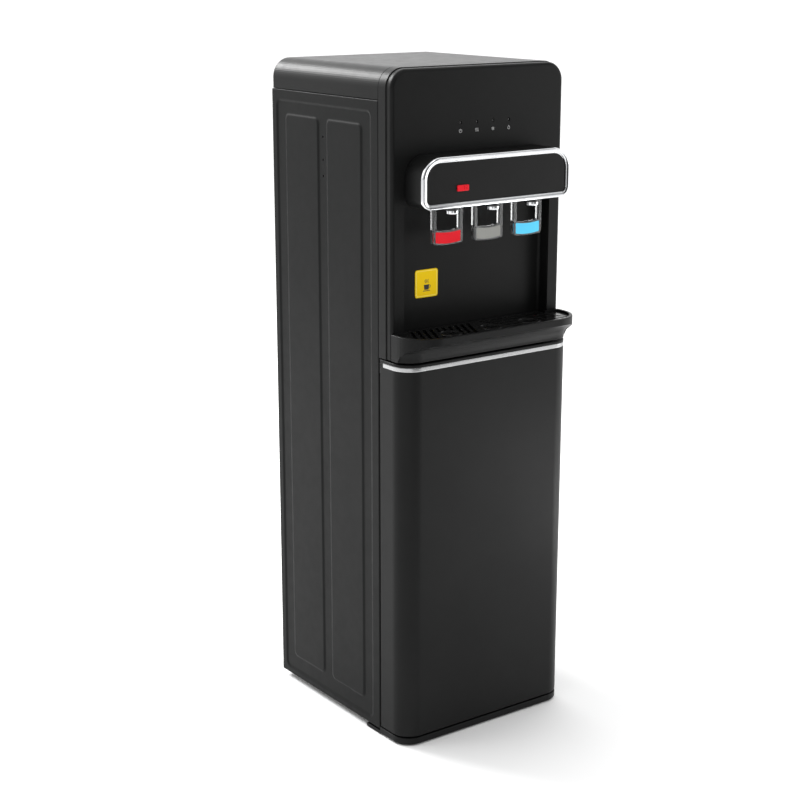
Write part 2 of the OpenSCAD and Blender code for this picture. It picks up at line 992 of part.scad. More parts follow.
// Lower and upper brackets with the pins that the door turns on
module hinge_brackets() {
    color(steel) {
        union() {
            box([hinge_x - 14, hinge_y - 7, plinth_z1], [half_w - 1, hinge_y + 10, plinth_z1 + 1.6]);
            translate([hinge_x, hinge_y, plinth_z1 + 0.5])
                cylinder(r = pin_r, h = door_z0 + 12 - plinth_z1);
        }
        union() {
            box([hinge_x - 14, hinge_y - 7, bezel_z0 - 1.9], [half_w - 1, hinge_y + 10, bezel_z0]);
            translate([hinge_x, hinge_y, door_top - 12])
                cylinder(r = pin_r, h = bezel_z0 - door_top + 11);
        }
    }
}

// ---------- suction probe ----------

probe_x = -118;
probe_y = 122;
probe_z0 = 60;
hook_z = 508;

module suction_probe() {
    color([0.75, 0.76, 0.78])
        difference() {
            translate([probe_x, probe_y, 0]) {
                translate([0, 0, probe_z0])
                    cylinder(r = 5, h = hook_z - probe_z0 + 2);
                translate([0, 0, hook_z + 0.3])
                    cylinder(r = 26, h = 22);
                translate([0, 0, hook_z + 22])
                    cylinder(r = 8, h = 14);
            }
            translate([probe_x, probe_y, probe_z0 - 1])
                cylinder(r = 3.5, h = hook_z);
        }
}

// Open hook that the cap rests on
module probe_hook() {
    color([0.3, 0.3, 0.3])
        difference() {
            union() {
                box([probe_x - 22, probe_y - 22, hook_z - 5], [probe_x + 22, liner_y - 0.1, hook_z]);
                box([probe_x - 22, liner_y - 3, hook_z - 25], [probe_x + 22, liner_y - 0.1, hook_z]);
            }
            translate([probe_x, probe_y, hook_z - 10])
                cylinder(r = 8, h = 20);
            box([probe_x - 8, probe_y - 30, hook_z - 10], [probe_x + 8, probe_y, hook_z + 1]);
        }
}

pump_out_x = port_x + 20;
pump_out_y = port_y - 14;

// Pump on the shelf, with its bottle port through the shelf and its outlet on top
module pump() {
    color([0.25, 0.25, 0.27])
        translate([port_x, port_y, shelf_z + 1.7])
            difference() {
                union() {
                    box([-28, -22, 0], [28, 22, 30]);
                    translate([-6, 4, 29.9])
                        cylinder(r = 17, h = 42);
                    translate([0, 0, -18])
                        cylinder(r = 5, h = 19);
                    translate([pump_out_x - port_x, pump_out_y - port_y, 29])
                        cylinder(r = 4, h = 16);
                }
                translate([0, 0, -19])
                    cylinder(r = 3, h = 20);
                translate([pump_out_x - port_x, pump_out_y - port_y, 35])
                    cylinder(r = 2.5, h = 11);
            }
}

// ---------- tanks and refrigeration ----------

cold_x = 58;
cold_y = 30;
cold_r = 66;
foam_r = 92;
cold_z0 = tank_shelf_z + 24;
cold_z1 = 960;
hot_x = -102;
hot_y = 20;
hot_r = 46;
hot_z0 = tank_shelf_z + 14;
hot_z1 = 930;

module tank(x, y, r, z0, z1) {
    translate([x, y, 0])
        difference() {
            union() {
                translate([0, 0, z0])
                    cylinder(r = r, h = z1 - z0);
                translate([0, 0, z1 - 0.1])
                    cylinder(r1 = r, r2 = r - 10, h = 6.1);
                translate([0, 0, z1 + 5])
                    cylinder(r = hose_r - 1.2, h = 20);
            }
            translate([0, 0, z0 + 2])
                cylinder(r = r - 2, h = z1 - z0 - 4);
        }
}

module cold_tank() {
    color(steel)
        tank(cold_x, cold_y, cold_r, cold_z0, cold_z1);
}

// Turns of copper tube round the cold tank
coil_turns = 9;
coil_tube_r = 3.5;
module evaporator_coil() {
    color([0.72, 0.45, 0.3])
        translate([cold_x, cold_y, cold_z0 + 20])
            for (k = [0:coil_turns - 1])
                translate([0, 0, 9 * k])
                    rotate_extrude()
                        translate([cold_r + coil_tube_r + 0.2, 0])
                            circle(coil_tube_r, $fn = 24);
}

module foam_jacket() {
    pocket_r = cold_r + 2 * coil_tube_r + 0.6;
    color([0.95, 0.95, 0.95])
        translate([cold_x, cold_y, 0])
            difference() {
                translate([0, 0, tank_shelf_z + 1.6])
                    cylinder(r = foam_r, h = cold_z1 + 16 - tank_shelf_z);
                translate([0, 0, cold_z0 - 0.1])
                    cylinder(r = pocket_r, h = cold_z1 - cold_z0 + 6.5);
                translate([0, 0, cold_z1])
                    cylinder(r = hose_r, h = 60);
            }
}

module hot_tank() {
    color(steel)
        union() {
            tank(hot_x, hot_y, hot_r, hot_z0, hot_z1);
            for (a = [30, 150, 270])
                translate([hot_x + 38 * cos(a), hot_y + 38 * sin(a), tank_shelf_z + 1.6])
                    cylinder(r = 4, h = hot_z0 - tank_shelf_z);
        }
}

module band_heater() {
    color([0.6, 0.55, 0.45])
        translate([hot_x, hot_y, 0])
            difference() {
                union() {
                    ring(hot_r + 4, hot_r + 0.2, hot_z0 + 30, hot_z0 + 75);
                    box([-8, hot_r + 3, hot_z0 + 40], [8, hot_r + 14, hot_z0 + 65]);
                }
                translate([0, 0, hot_z0])
                    cylinder(r = hot_r + 0.2, h = 100);
            }
}

// Two snap thermostats on the hot tank and one on the foam jacket
module thermostats() {
    color([0.15, 0.15, 0.15]) {
        for (z = [hot_z0 + 95, hot_z0 + 125])
            translate([hot_x, hot_y + hot_r + 0.1, z])
                rotate([-90, 0, 0])
                    cylinder(r = 8, h = 8);
        translate([cold_x, cold_y + foam_r + 0.2, 900])
            rotate([-90, 0, 0])
                cylinder(r = 9, h = 12);
    }
}

// Sealed pot with a rounded top and bottom, its motor inside, on a foot plate
comp_x = 40;
comp_y = 90;

// Half section of the pot, in radius and height
module pot_section(r, h, corner) {
    square([r - corner, h]);
    translate([0, corner])
        square([r, h - 2 * corner]);
    for (z = [corner, h - corner])
        translate([r - corner, z])
            circle(corner);
}

module compressor() {
    pot_r = 60;
    pot_h = 118;
    shell = 3.5;
    color([0.08, 0.08, 0.08])
        translate([comp_x, comp_y, shelf_z + 1.7]) {
            difference() {
                union() {
                    translate([0, 0, 9])
                        rotate_extrude()
                            difference() {
                                pot_section(pot_r, pot_h, 16);
                                translate([0, shell])
                                    pot_section(pot_r - shell, pot_h - 2 * shell, 13);
                            }
                    translate([0, 0, 12])
                        cylinder(r = 38, h = 62);
                    translate([0, 0, 8])
                        linear_extrude(2.5)
                            round_rect(150, 96, 12);
                }
                for (sx = [-1, 1], sy = [-1, 1])
                    translate([sx * 64, sy * 38, 0])
                        cylinder(r = 7, h = 20);
            }
            // Rubber mounts
            for (sx = [-1, 1], sy = [-1, 1])
                translate([sx * 64, sy * 38, 0]) {
                    cylinder(r = 11, h = 7.8);
                    cylinder(r = 6.8, h = 13);
                }
        }
}

// Condenser at the back: one tube in nine runs, and its wires
cond_x0 = -128;
cond_x1 = 92;
cond_y = y_back - 10;
cond_z0 = 660;
cond_pitch = 38;
cond_runs = 9;
tube_r = 2.5;

module condenser() {
    wires = 18;
    wire_h = cond_pitch * (cond_runs - 1) + 24;
    color([0.06, 0.06, 0.06]) {
        union() {
            for (k = [0:cond_runs - 1])
                translate([cond_x0, cond_y, cond_z0 + cond_pitch * k])
                    rotate([0, 90, 0])
                        cylinder(r = tube_r, h = cond_x1 - cond_x0, $fn = 24);
            for (k = [0:cond_runs - 2])
                translate([k % 2 == 0 ? cond_x1 : cond_x0, cond_y, cond_z0 + cond_pitch * (k + 0.5)])
                    rotate([90, 0, 0])
                        rotate([0, 0, k % 2 == 0 ? -90 : 90])
                            rotate_extrude(angle = 180)
                                translate([cond_pitch / 2, 0])
                                    circle(tube_r, $fn = 24);
            // Tabs to the back panel
            for (x = [cond_x0 + 7, cond_x1 - 14], k = [0, cond_runs - 1])
                box([x, panel_y + 1.2, cond_z0 + cond_pitch * k - 2],
                    [x + 6.5, cond_y - 1, cond_z0 + cond_pitch * k + 2]);
        }
        for (k = [0:wires - 1], s = [-1, 1])
            translate([cond_x0 + 4 + (cond_x1 - cond_x0 - 8) * k / (wires - 1),
                       cond_y + s * (tube_r + 1), cond_z0 - 12])
                cylinder(r = 0.8, h = wire_h, $fn = 16);
    }
}

// Hoses from the tanks over to the barbs of the taps
function hose_route(x, y, z, tap) = [
    [x, y, z],
    [x, y - 2, z + 22],
    [x + (tap - x) * 0.2, y - 28, z + 38],
    [x + (tap - x) * 0.5, -50, z + 34],
    [x + (tap - x) * 0.8, -80, inlet_z + 58],
    [tap, -98, inlet_z + 14],
    [tap, y_face + 22, inlet_z],
    [tap, y_face + 10.9, inlet_z]
];

// Hose of the unheated tap, from the pump up between the tanks
normal_route = [
    [pump_out_x, pump_out_y, shelf_z + 47.4],
    [pump_out_x, pump_out_y, shelf_z + 70],
    [pump_out_x + 10, pump_out_y + 12, shelf_z + 120],
    [-60, -41, tank_shelf_z],
    [-55, -45, tank_shelf_z + 46],
    [-45, -55, tank_shelf_z + 96],
    [-20, -80, inlet_z - 6],
    [tap_x[1], -98, inlet_z + 2],
    [tap_x[1], y_face + 20, inlet_z],
    [tap_x[1], y_face + 10.9, inlet_z]
];

module tap_hoses() {
    color([0.85, 0.85, 0.8, 0.6]) {
        swept_tube(hose_route(hot_x, hot_y, hot_z1 + 25.3, tap_x[0]), hose_r, 24, 8);
        swept_tube(hose_route(cold_x, cold_y, cold_z1 + 25.3, tap_x[2]), hose_r, 24, 8);
        swept_tube(normal_route, hose_r, 30, 8);
    }
}

// ---------- electrical parts ----------

module control_box() {
    color([0.9, 0.9, 0.88])
        difference() {
            box([60, -85, shelf_z + 1.7], [150, 0, shelf_z + 92]);
            box([62.5, -82.5, shelf_z + 4.2], [147.5, -2.5, shelf_z + 89.5]);
        }
}

rocker_x = 127;
rocker_y = panel_y - 2;
rocker_tilt = 8;

// Rocker tilted to its "on" side about its pivot
module rocker(z) {
    translate([rocker_x, rocker_y, z])
        rotate([rocker_tilt, 0, 0])
            difference() {
                union() {
                    box([-6, -4, -9.5], [6, 6, 9.5]);
                    translate([-6, 0, 0])
                        rotate([0, 90, 0])
                            cylinder(r = 4, h = 12);
                }
                translate([-7, 0, 0])
                    rotate([0, 90, 0])
                        cylinder(r = 1.5 + run_fit, h = 14);
            }
}

module rocker_heat() {
    color([0.8, 0.1, 0.1])
        rocker(945);
}

module rocker_cool() {
    color([0.1, 0.45, 0.25])
        rocker(905);
}

module switch_frames() {
    color([0.08, 0.08, 0.08])
        for (z = [905, 945])
            translate([rocker_x, panel_y, z]) {
                difference() {
                    union() {
                        box([-11, 1.1, -14], [11, 3, 14]);
                        box([-9, -16, -12], [9, 1.2, 12]);
                    }
                    box([-7, -13, -11], [7, 4, 11]);
                }
                translate([-8, rocker_y - panel_y, 0])
                    rotate([0, 90, 0])
                        cylinder(r = 1.5, h = 16);
            }
}

// Bush that the mains lead would come through
module cord_gland() {
    color([0.08, 0.08, 0.08])
        translate([rocker_x, panel_y, 640])
            rotate([-90, 0, 0])
                difference() {
                    union() {
                        translate([0, 0, -6])
                            cylinder(r = 8, h = 14);
                        translate([0, 0, 1.1])
                            cylinder(r = 11, h = 3);
                    }
                    translate([0, 0, -7])
                        cylinder(r = 4, h = 20);
                }
}

module drain_spigot() {
    color([0.85, 0.85, 0.85])
        translate([127, panel_y, 700])
            rotate([-90, 0, 0])
                difference() {
                    union() {
                        translate([0, 0, -20])
                            cylinder(r = 8, h = 32);
                        translate([0, 0, 1.1])
                            cylinder(r = 12, h = 2);
                    }
                    translate([0, 0, -21])
                        cylinder(r = 5, h = 40);
                }
}

module drain_cap() {
    color([0.15, 0.15, 0.15])
        translate([127, panel_y, 700])
            rotate([-90, 0, 0])
                difference() {
                    translate([0, 0, 3.4])
                        cylinder(r = 11, h = 15);
                    translate([0, 0, 3])
                        cylinder(r = 8.06, h = 9.3);
                }
}

base_plate();
front_plinth();
glide_feet();
side_panel_left();
side_panel_right();
back_panel();
panel_screws();
top_cover();
front_bezel();
recess_liner();
caution_plate();
shelf_plate();
tank_shelf();
liner_left();
liner_right();
liner_back();
bottle_floor();
head_housing();
head_plate();
head_ring();
lamp_board();
indicator_lamps();
lock_slider();
tap_hot();
tap_normal();
tap_cold();
lever_hot();
lever_normal();
lever_cold();
insert_hot();
insert_normal();
insert_cold();
lever_pins();
lever_springs();
drip_tray();
drip_grille();
door_skin();
door_liner();
door_strip();
door_magnets();
hinge_brackets();
suction_probe();
probe_hook();
pump();
cold_tank();
evaporator_coil();
foam_jacket();
hot_tank();
band_heater();
thermostats();
compressor();
condenser();
tap_hoses();
control_box();
rocker_heat();
rocker_cool();
switch_frames();
cord_gland();
drain_spigot();
drain_cap();
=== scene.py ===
import json
import math

import bmesh
import bpy
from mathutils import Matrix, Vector


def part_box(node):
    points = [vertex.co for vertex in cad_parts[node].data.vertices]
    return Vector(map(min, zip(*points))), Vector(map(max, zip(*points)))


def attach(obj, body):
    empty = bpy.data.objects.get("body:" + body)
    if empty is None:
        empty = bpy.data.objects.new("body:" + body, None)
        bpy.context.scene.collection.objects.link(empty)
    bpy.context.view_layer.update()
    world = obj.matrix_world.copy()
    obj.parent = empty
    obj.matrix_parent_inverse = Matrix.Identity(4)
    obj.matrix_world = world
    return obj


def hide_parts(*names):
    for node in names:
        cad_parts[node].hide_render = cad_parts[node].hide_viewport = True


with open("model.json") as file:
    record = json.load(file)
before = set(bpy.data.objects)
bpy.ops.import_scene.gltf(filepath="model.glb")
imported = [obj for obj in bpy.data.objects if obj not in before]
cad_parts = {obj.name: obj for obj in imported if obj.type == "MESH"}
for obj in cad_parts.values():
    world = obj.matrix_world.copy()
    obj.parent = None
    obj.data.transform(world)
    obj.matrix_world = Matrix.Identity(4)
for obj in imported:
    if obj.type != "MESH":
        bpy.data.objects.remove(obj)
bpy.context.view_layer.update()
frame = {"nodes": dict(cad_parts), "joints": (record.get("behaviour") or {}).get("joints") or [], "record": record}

# ---------- places, from the frame ----------

MM = 0.001
side_low, side_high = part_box("side_panel_left")
cover_low, cover_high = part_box("top_cover")
bezel_low, bezel_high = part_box("front_bezel")
liner_low, liner_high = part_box("recess_liner")
head_low, head_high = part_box("head_housing")
ring_low, ring_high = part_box("head_ring")
plate_low, plate_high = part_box("head_plate")
lock_low, lock_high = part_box("lock_slider")
tray_low, tray_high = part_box("drip_tray")
grille_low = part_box("drip_grille")[0]
door_low, door_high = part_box("door_skin")
strip_low, strip_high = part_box("door_strip")
plinth_low, plinth_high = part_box("front_plinth")
back_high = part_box("back_panel")[1]
label_low, label_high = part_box("caution_plate")

half_w = -side_low.x
y_seam = side_low.y
y_back = side_high.y
y_face = bezel_low.y
y_step = y_seam - 19 * MM
recess_hw = liner_high.x - 2 * MM
recess_z0 = liner_low.z - 0.2 * MM
recess_z1 = liner_high.z - 2.2 * MM
recess_back = liner_high.y - 2 * MM
tongue_hw = recess_hw - 4 * MM
tongue_back = recess_back - 3 * MM
tray_back = y_face - 0.4 * MM
spout_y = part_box("tap_hot")[0].y + 11 * MM
wall = 2.5 * MM
top_r = 30 * MM
door_r = 32 * MM
tray_r = 50 * MM
TAPS = ("hot", "normal", "cold")


def middle(low, high):
    """Centre of a box seen from the front, as X and Z."""
    return (low.x + high.x) / 2, (low.z + high.z) / 2


def lever_places():
    return [middle(*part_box("lever_" + tap))[0] for tap in TAPS]


def pivot_of(joint):
    return next(Vector(j["pos_m"]) for j in frame["joints"] if j["name"] == joint)


# ---------- materials ----------

class Nodes:
    """Short ways to add and link a material's nodes."""

    def __init__(self, name):
        self.material = bpy.data.materials.new(name)
        self.material.use_nodes = True
        self.tree = self.material.node_tree
        self.shader = self.tree.nodes["Principled BSDF"]
        self.coords = self.tree.nodes.new("ShaderNodeTexCoord").outputs["Object"]

    def node(self, kind, **values):
        node = self.tree.nodes.new(kind)
        for key, value in values.items():
            setattr(node, key, value)
        return node

    def link(self, source, target):
        self.tree.links.new(source, target)

    def noise(self, scale, detail=3.0, stretch=(1, 1, 1), rough=0.55):
        place = self.node("ShaderNodeMapping")
        place.inputs["Scale"].default_value = stretch
        self.link(self.coords, place.inputs["Vector"])
        noise = self.node("ShaderNodeTexNoise")
        noise.inputs["Scale"].default_value = scale
        noise.inputs["Detail"].default_value = detail
        noise.inputs["Roughness"].default_value = rough
        self.link(place.outputs["Vector"], noise.inputs["Vector"])
        return noise.outputs["Fac"]

    def spread(self, source, low, high, span=(0.3, 0.7)):
        """Turns a value between span into one between low and high."""
        node = self.node("ShaderNodeMapRange")
        for key, value in zip(("From Min", "From Max", "To Min", "To Max"), (*span, low, high)):
            node.inputs[key].default_value = value
        self.link(source, node.inputs["Value"])
        return node.outputs["Result"]

    def mix(self, factor, low, high):
        """Colour between two others, each a colour or an output."""
        node = self.node("ShaderNodeMix", data_type="RGBA")
        self.link(factor, node.inputs["Factor"])
        for socket, value in ((node.inputs[6], low), (node.inputs[7], high)):
            if isinstance(value, tuple):
                socket.default_value = (*value, 1)
            else:
                self.link(value, socket)
        return node.outputs[2]

    def edges(self):
        """1 on rounded edges, broken up by a noise, and 0 on faces."""
        soft = self.node("ShaderNodeBevel", samples=3)
        soft.inputs["Radius"].default_value = 0.9 * MM
        dot = self.node("ShaderNodeVectorMath", operation="DOT_PRODUCT")
        self.link(soft.outputs["Normal"], dot.inputs[0])
        self.link(self.node("ShaderNodeNewGeometry").outputs["Normal"], dot.inputs[1])
        edge = self.spread(dot.outputs["Value"], 1, 0, (0.86, 0.99))
        both = self.node("ShaderNodeMath", operation="MULTIPLY")
        self.link(edge, both.inputs[0])
        self.link(self.spread(self.noise(120.0), 0.2, 1), both.inputs[1])
        return both.outputs["Value"]

    def bumps(self, *layers):
        """Bump from (height, strength, depth in millimetres) layers, one after another."""
        normal = None
        for height, strength, depth in layers:
            node = self.node("ShaderNodeBump")
            node.inputs["Strength"].default_value = strength
            node.inputs["Distance"].default_value = depth * MM
            self.link(height, node.inputs["Height"])
            if normal is not None:
                self.link(normal, node.inputs["Normal"])
            normal = node.outputs["Normal"]
        self.link(normal, self.shader.inputs["Normal"])

    def set(self, **values):
        """Sets the shader's own sockets. An underscore stands for a space."""
        for key, value in values.items():
            self.shader.inputs[key.replace("_", " ")].default_value = value


def grey(level):
    return (level, level, level)


def surface(dark, light, rough, grain=900.0, grain_depth=0.004, mottle=7.0, worn=None, **shader):
    """Solid finish: cloudy colour, paler worn edges, grain in the bump and a varied roughness."""
    n = Nodes("surface")
    colour = n.mix(n.spread(n.noise(mottle, 4.0), 0, 1), dark, light)
    if worn:
        colour = n.mix(n.edges(), colour, worn)
    n.link(colour, n.shader.inputs["Base Color"])
    fine = n.noise(grain, 2.0)
    coarse = n.noise(mottle * 9)
    n.link(n.spread(coarse, *rough), n.shader.inputs["Roughness"])
    n.bumps((coarse, 0.03, 0.05), (fine, 0.35, grain_depth))
    n.set(**shader)
    return n.material


def brushed(dark, light, rough, stretch, anisotropic=0.6):
    """Brushed metal: fine scratches drawn out along one axis."""
    n = Nodes("brushed")
    lines = n.noise(260.0, 3.0, stretch, 0.7)
    cloud = n.noise(14.0)
    tone = n.mix(n.spread(lines, 0, 1), dark, light)
    n.link(n.mix(n.spread(cloud, 0, 0.35), tone, dark), n.shader.inputs["Base Color"])
    n.link(n.spread(lines, *rough), n.shader.inputs["Roughness"])
    n.bumps((lines, 0.12, 0.03))
    n.set(Metallic=1.0, Anisotropic=anisotropic)
    return n.material


def clear(tint, rough):
    """Clear moulded acrylic with faint flow marks."""
    n = Nodes("clear")
    flow = n.noise(45.0, 3.0, (1, 1, 0.35))
    n.link(n.mix(n.spread(flow, 0, 1), tint, grey(1.0)), n.shader.inputs["Base Color"])
    n.link(n.spread(flow, *rough), n.shader.inputs["Roughness"])
    n.bumps((flow, 0.05, 0.1))
    n.set(Transmission_Weight=0.96, IOR=1.49)
    return n.material


MATERIALS = {
    "charcoal_plastic": surface(
        (0.0062, 0.0064, 0.0064), (0.0084, 0.0086, 0.0085), (0.365, 0.415),
        grain=1500.0, grain_depth=0.012, worn=grey(0.02), Specular_IOR_Level=0.115),
    "charcoal_steel": surface(
        (0.0066, 0.0069, 0.0068), (0.0086, 0.0088, 0.0087), (0.38, 0.46),
        grain=1100.0, grain_depth=0.01, worn=grey(0.025), Specular_IOR_Level=0.08),
    "black_plate": surface(
        grey(0.005), grey(0.007), (0.38, 0.48), grain=1600.0, grain_depth=0.01,
        Specular_IOR_Level=0.15),
    "grille_gloss": surface(
        grey(0.006), grey(0.01), (0.16, 0.28), grain_depth=0.006, worn=grey(0.05),
        Specular_IOR_Level=0.5),
    "bright_chrome": surface(
        (0.66, 0.67, 0.69), (0.76, 0.77, 0.78), (0.05, 0.12), grain=500.0, grain_depth=0.002,
        mottle=22.0, Metallic=1.0),
    "silver_strip": brushed((0.32, 0.325, 0.33), grey(0.5), (0.18, 0.32), (0.05, 0.05, 6)),
    "zinc_steel": brushed((0.42, 0.43, 0.44), (0.62, 0.63, 0.64), (0.3, 0.45), (1, 1, 0.15), 0.3),
    "stainless": brushed((0.52, 0.52, 0.53), grey(0.7), (0.2, 0.32), (1, 1, 0.05)),
    "black_enamel": surface(grey(0.006), grey(0.012), (0.22, 0.35), grain=400.0, grain_depth=0.01),
    "clear_acrylic": clear((0.93, 0.95, 0.96), (0.01, 0.05)),
    "red_plastic": surface(
        (0.62, 0.006, 0.014), (0.7, 0.009, 0.02), (0.28, 0.4), grain_depth=0.006,
        worn=(0.9, 0.06, 0.07), Specular_IOR_Level=0.12),
    "grey_plastic": surface(
        (0.235, 0.237, 0.222), (0.29, 0.292, 0.275), (0.28, 0.4), grain_depth=0.006,
        worn=(0.45, 0.45, 0.44), Specular_IOR_Level=0.15),
    "blue_plastic": surface(
        (0.09, 0.56, 0.86), (0.11, 0.63, 0.93), (0.28, 0.4), grain_depth=0.006,
        worn=(0.3, 0.65, 0.85), Specular_IOR_Level=0.15),
    "green_plastic": surface(
        (0.02, 0.2, 0.08), (0.03, 0.26, 0.11), (0.28, 0.4), grain_depth=0.006,
        worn=(0.1, 0.4, 0.2)),
    "yellow_label": surface(
        (0.84, 0.56, 0.001), (0.92, 0.62, 0.002), (0.38, 0.5), grain=700.0,
        Specular_IOR_Level=0.1),
    "lamp_clear": surface(grey(0.006), grey(0.012), (0.12, 0.2), grain=700.0, Coat_Weight=0.2),
    "board_green": surface(
        (0.01, 0.1, 0.04), (0.02, 0.16, 0.07), (0.3, 0.45), grain=600.0, grain_depth=0.02,
        mottle=60.0),
    "tap_plastic": surface(
        (0.014, 0.014, 0.015), (0.024, 0.024, 0.025), (0.25, 0.38), grain=1200.0,
        grain_depth=0.008, worn=grey(0.07)),
    "pale_plastic": surface(
        (0.6, 0.6, 0.59), (0.64, 0.64, 0.63), (0.4, 0.52), grain=1100.0, grain_depth=0.012,
        worn=(0.75, 0.75, 0.74)),
    "foot_rubber": surface(
        grey(0.008), (0.02, 0.02, 0.019), (0.65, 0.85), grain=1300.0, grain_depth=0.03, mottle=40.0),
    "foam_white": surface(
        (0.72, 0.72, 0.69), (0.84, 0.84, 0.81), (0.8, 0.95), grain=450.0, grain_depth=0.25,
        mottle=30.0),
    "heater_mica": surface(
        (0.3, 0.24, 0.16), (0.45, 0.38, 0.28), (0.5, 0.7), grain=350.0, grain_depth=0.05,
        mottle=50.0),
    "copper": brushed((0.55, 0.26, 0.14), (0.75, 0.4, 0.25), (0.22, 0.36), (1, 1, 0.3), 0.2),
    "silicone_hose": surface(
        (0.55, 0.56, 0.54), (0.68, 0.69, 0.67), (0.35, 0.5), grain=600.0, grain_depth=0.01,
        Subsurface_Weight=0.2),
    "print_white": surface(grey(0.6), grey(0.72), (0.5, 0.6)),
    "print_black": surface(grey(0.01), (0.02, 0.02, 0.018), (0.45, 0.6)),
    "print_pale": surface((0.9, 0.72, 0.08), (0.95, 0.77, 0.12), (0.4, 0.5)),
}
for material_name, made in MATERIALS.items():
    made.name = material_name


# ---------- outlines, as lists of 2-D points ----------

def arc(x, y, r, start, turn, steps):
    """Points round (x, y) from the start angle through the turn, both in degrees."""
    angles = [math.radians(start + turn * k / steps) for k in range(steps + 1)]
    return [(x + r * math.cos(a), y + r * math.sin(a)) for a in angles]


def circle(x, y, r, steps=24):
    return arc(x, y, r, 0, 360, steps)[:-1]


def box_outline(x0, x1, z0, z1, radii, inset=0.0, steps=10):
    """Rectangle with round corners, anticlockwise from the lower left. radii goes the same way."""
    points = []
    corners = ((x0, z0, 1, 1, 180), (x1, z0, -1, 1, 270), (x1, z1, -1, -1, 0), (x0, z1, 1, -1, 90))
    for (x, z, sx, sz, start), radius in zip(corners, radii):
        r = max(radius - inset, 0.02 * MM)
        points += arc(x + sx * (inset + r), z + sz * (inset + r), r, start, 90, steps)
    return points


def banner_outline(centre, half, low, high, sag, r, steps=16):
    """Shape with upright sides whose lower and upper edges hang by sag in the middle."""
    def drop(x):
        return -sag * (1 - (x / half) ** 2)

    def edge(z, direction):
        xs = [(half - r) * (2 * k / steps - 1) for k in range(steps + 1)]
        return [(centre + direction * x, z + drop(x)) for x in xs]

    def corner(sx, z, start, up):
        return arc(centre + sx * (half - r), z + drop(half - r) + up * r, r, start + 22.5, 67.5, 3)

    return (edge(low, 1) + corner(1, low, 270, 1) + corner(1, high, 0, -1)[:-1] + edge(high, -1)
            + corner(-1, high, 90, -1) + corner(-1, low, 180, 1)[:-1])


def plan_round(hw, y_rear, y_front, r, inset=0.0, steps=16):
    """Plan outline, square at the back and round at the front, from the left back corner."""
    points = [(-hw + inset, y_rear)]
    for sx, start in ((-1, 180), (1, 270)):
        points += arc(sx * (hw - r), y_front + r, r - inset, start, 90, steps)
    return points + [(hw - inset, y_rear)]


def fluted(x, y, r, flutes=16, depth=0.35 * MM):
    """Round outline with shallow flutes."""
    steps = flutes * 4
    radii = [r - (depth if k % 4 >= 2 else 0) for k in range(steps)]
    return [(x + rr * math.cos(2 * math.pi * k / steps), y + rr * math.sin(2 * math.pi * k / steps))
            for k, rr in enumerate(radii)]


def stadium(cx, cy, tilt, length, width, steps=6):
    """Slot with round ends that starts at (cx, cy) and runs towards -Y, turned by tilt."""
    r = width / 2
    points = arc(0, -r, r, 0, 180, steps) + arc(0, -length + r, r, 180, 180, steps)
    c, s = math.cos(tilt), math.sin(tilt)
    return [(cx + c * x - s * y, cy + s * x + c * y) for x, y in points]


def quarter(r, steps=4):
    """Rounded edge: (inset, drop) pairs from the side wall, at full drop, up to the face."""
    angles = [math.pi / 2 * k / steps for k in range(steps + 1)]
    return [(r * (1 - math.cos(a)), r * (1 - math.sin(a))) for a in angles]


def scaled(pairs):
    """Pairs in millimetres, as metres."""
    return [(a * MM, b * MM) for a, b in pairs]


def front(p, depth):
    """Point of an outline in X and Z, at a depth along Y."""
    return (p[0], depth, p[1])


def plan(p, height):
    """Point of an outline in X and Y, at a height along Z."""
    return (p[0], p[1], height)


# ---------- shapes ----------

class Shape:
    """Collects vertices and faces."""

    def __init__(self):
        self.verts = []
        self.faces = []

    def loft(self, rings, looped=False):
        """Skin through rings of equal length. looped joins the last ring to the first."""
        base, count = len(self.verts), len(rings[0])
        for ring in rings:
            self.verts += [tuple(p) for p in ring]
        stops = len(rings) if looped else len(rings) - 1
        for j in range(stops):
            low, high = base + j * count, base + (j + 1) % len(rings) * count
            for i in range(count):
                m = (i + 1) % count
                self.faces.append((low + i, low + m, high + m, high + i))
        if not looped:
            self.faces.append(tuple(base + i for i in reversed(range(count))))
            self.faces.append(tuple(base + (len(rings) - 1) * count + i for i in range(count)))
        return self

    def prism(self, points, plane, start, end):
        return self.loft([[plane(p, start) for p in points], [plane(p, end) for p in points]])

    def block(self, low, high):
        x0, y0, z0 = low
        x1, y1, z1 = high
        return self.prism([(x0, y0), (x1, y0), (x1, y1), (x0, y1)], plan, z0, z1)

    def lathe(self, profile, origin, axis="Z", steps=32):
        """Solid of revolution from (radius, height) pairs."""
        order = {"Z": (0, 1, 2), "Y": (0, 2, 1), "X": (2, 0, 1)}[axis]
        rings = []
        for r, h in profile:
            ring = [(u, v, h) for u, v in circle(0, 0, r, steps)]
            rings.append([tuple(o + p[k] for o, k in zip(origin, order)) for p in ring])
        return self.loft(rings)


def merge(*shapes):
    out = Shape()
    for shape in shapes:
        base = len(out.verts)
        out.verts += shape.verts
        out.faces += [tuple(base + i for i in face) for face in shape.faces]
    return out


def raw_object(name, shape):
    mesh = bpy.data.meshes.new(name)
    mesh.from_pydata(shape.verts, [], shape.faces)
    bm = bmesh.new()
    bm.from_mesh(mesh)
    bmesh.ops.remove_doubles(bm, verts=bm.verts, dist=0.004 * MM)
    bmesh.ops.dissolve_degenerate(bm, edges=bm.edges, dist=0.004 * MM)
    bmesh.ops.recalc_face_normals(bm, faces=bm.faces)
    bm.to_mesh(mesh)
    bm.free()
    obj = bpy.data.objects.new(name, mesh)
    bpy.context.scene.collection.objects.link(obj)
    return obj


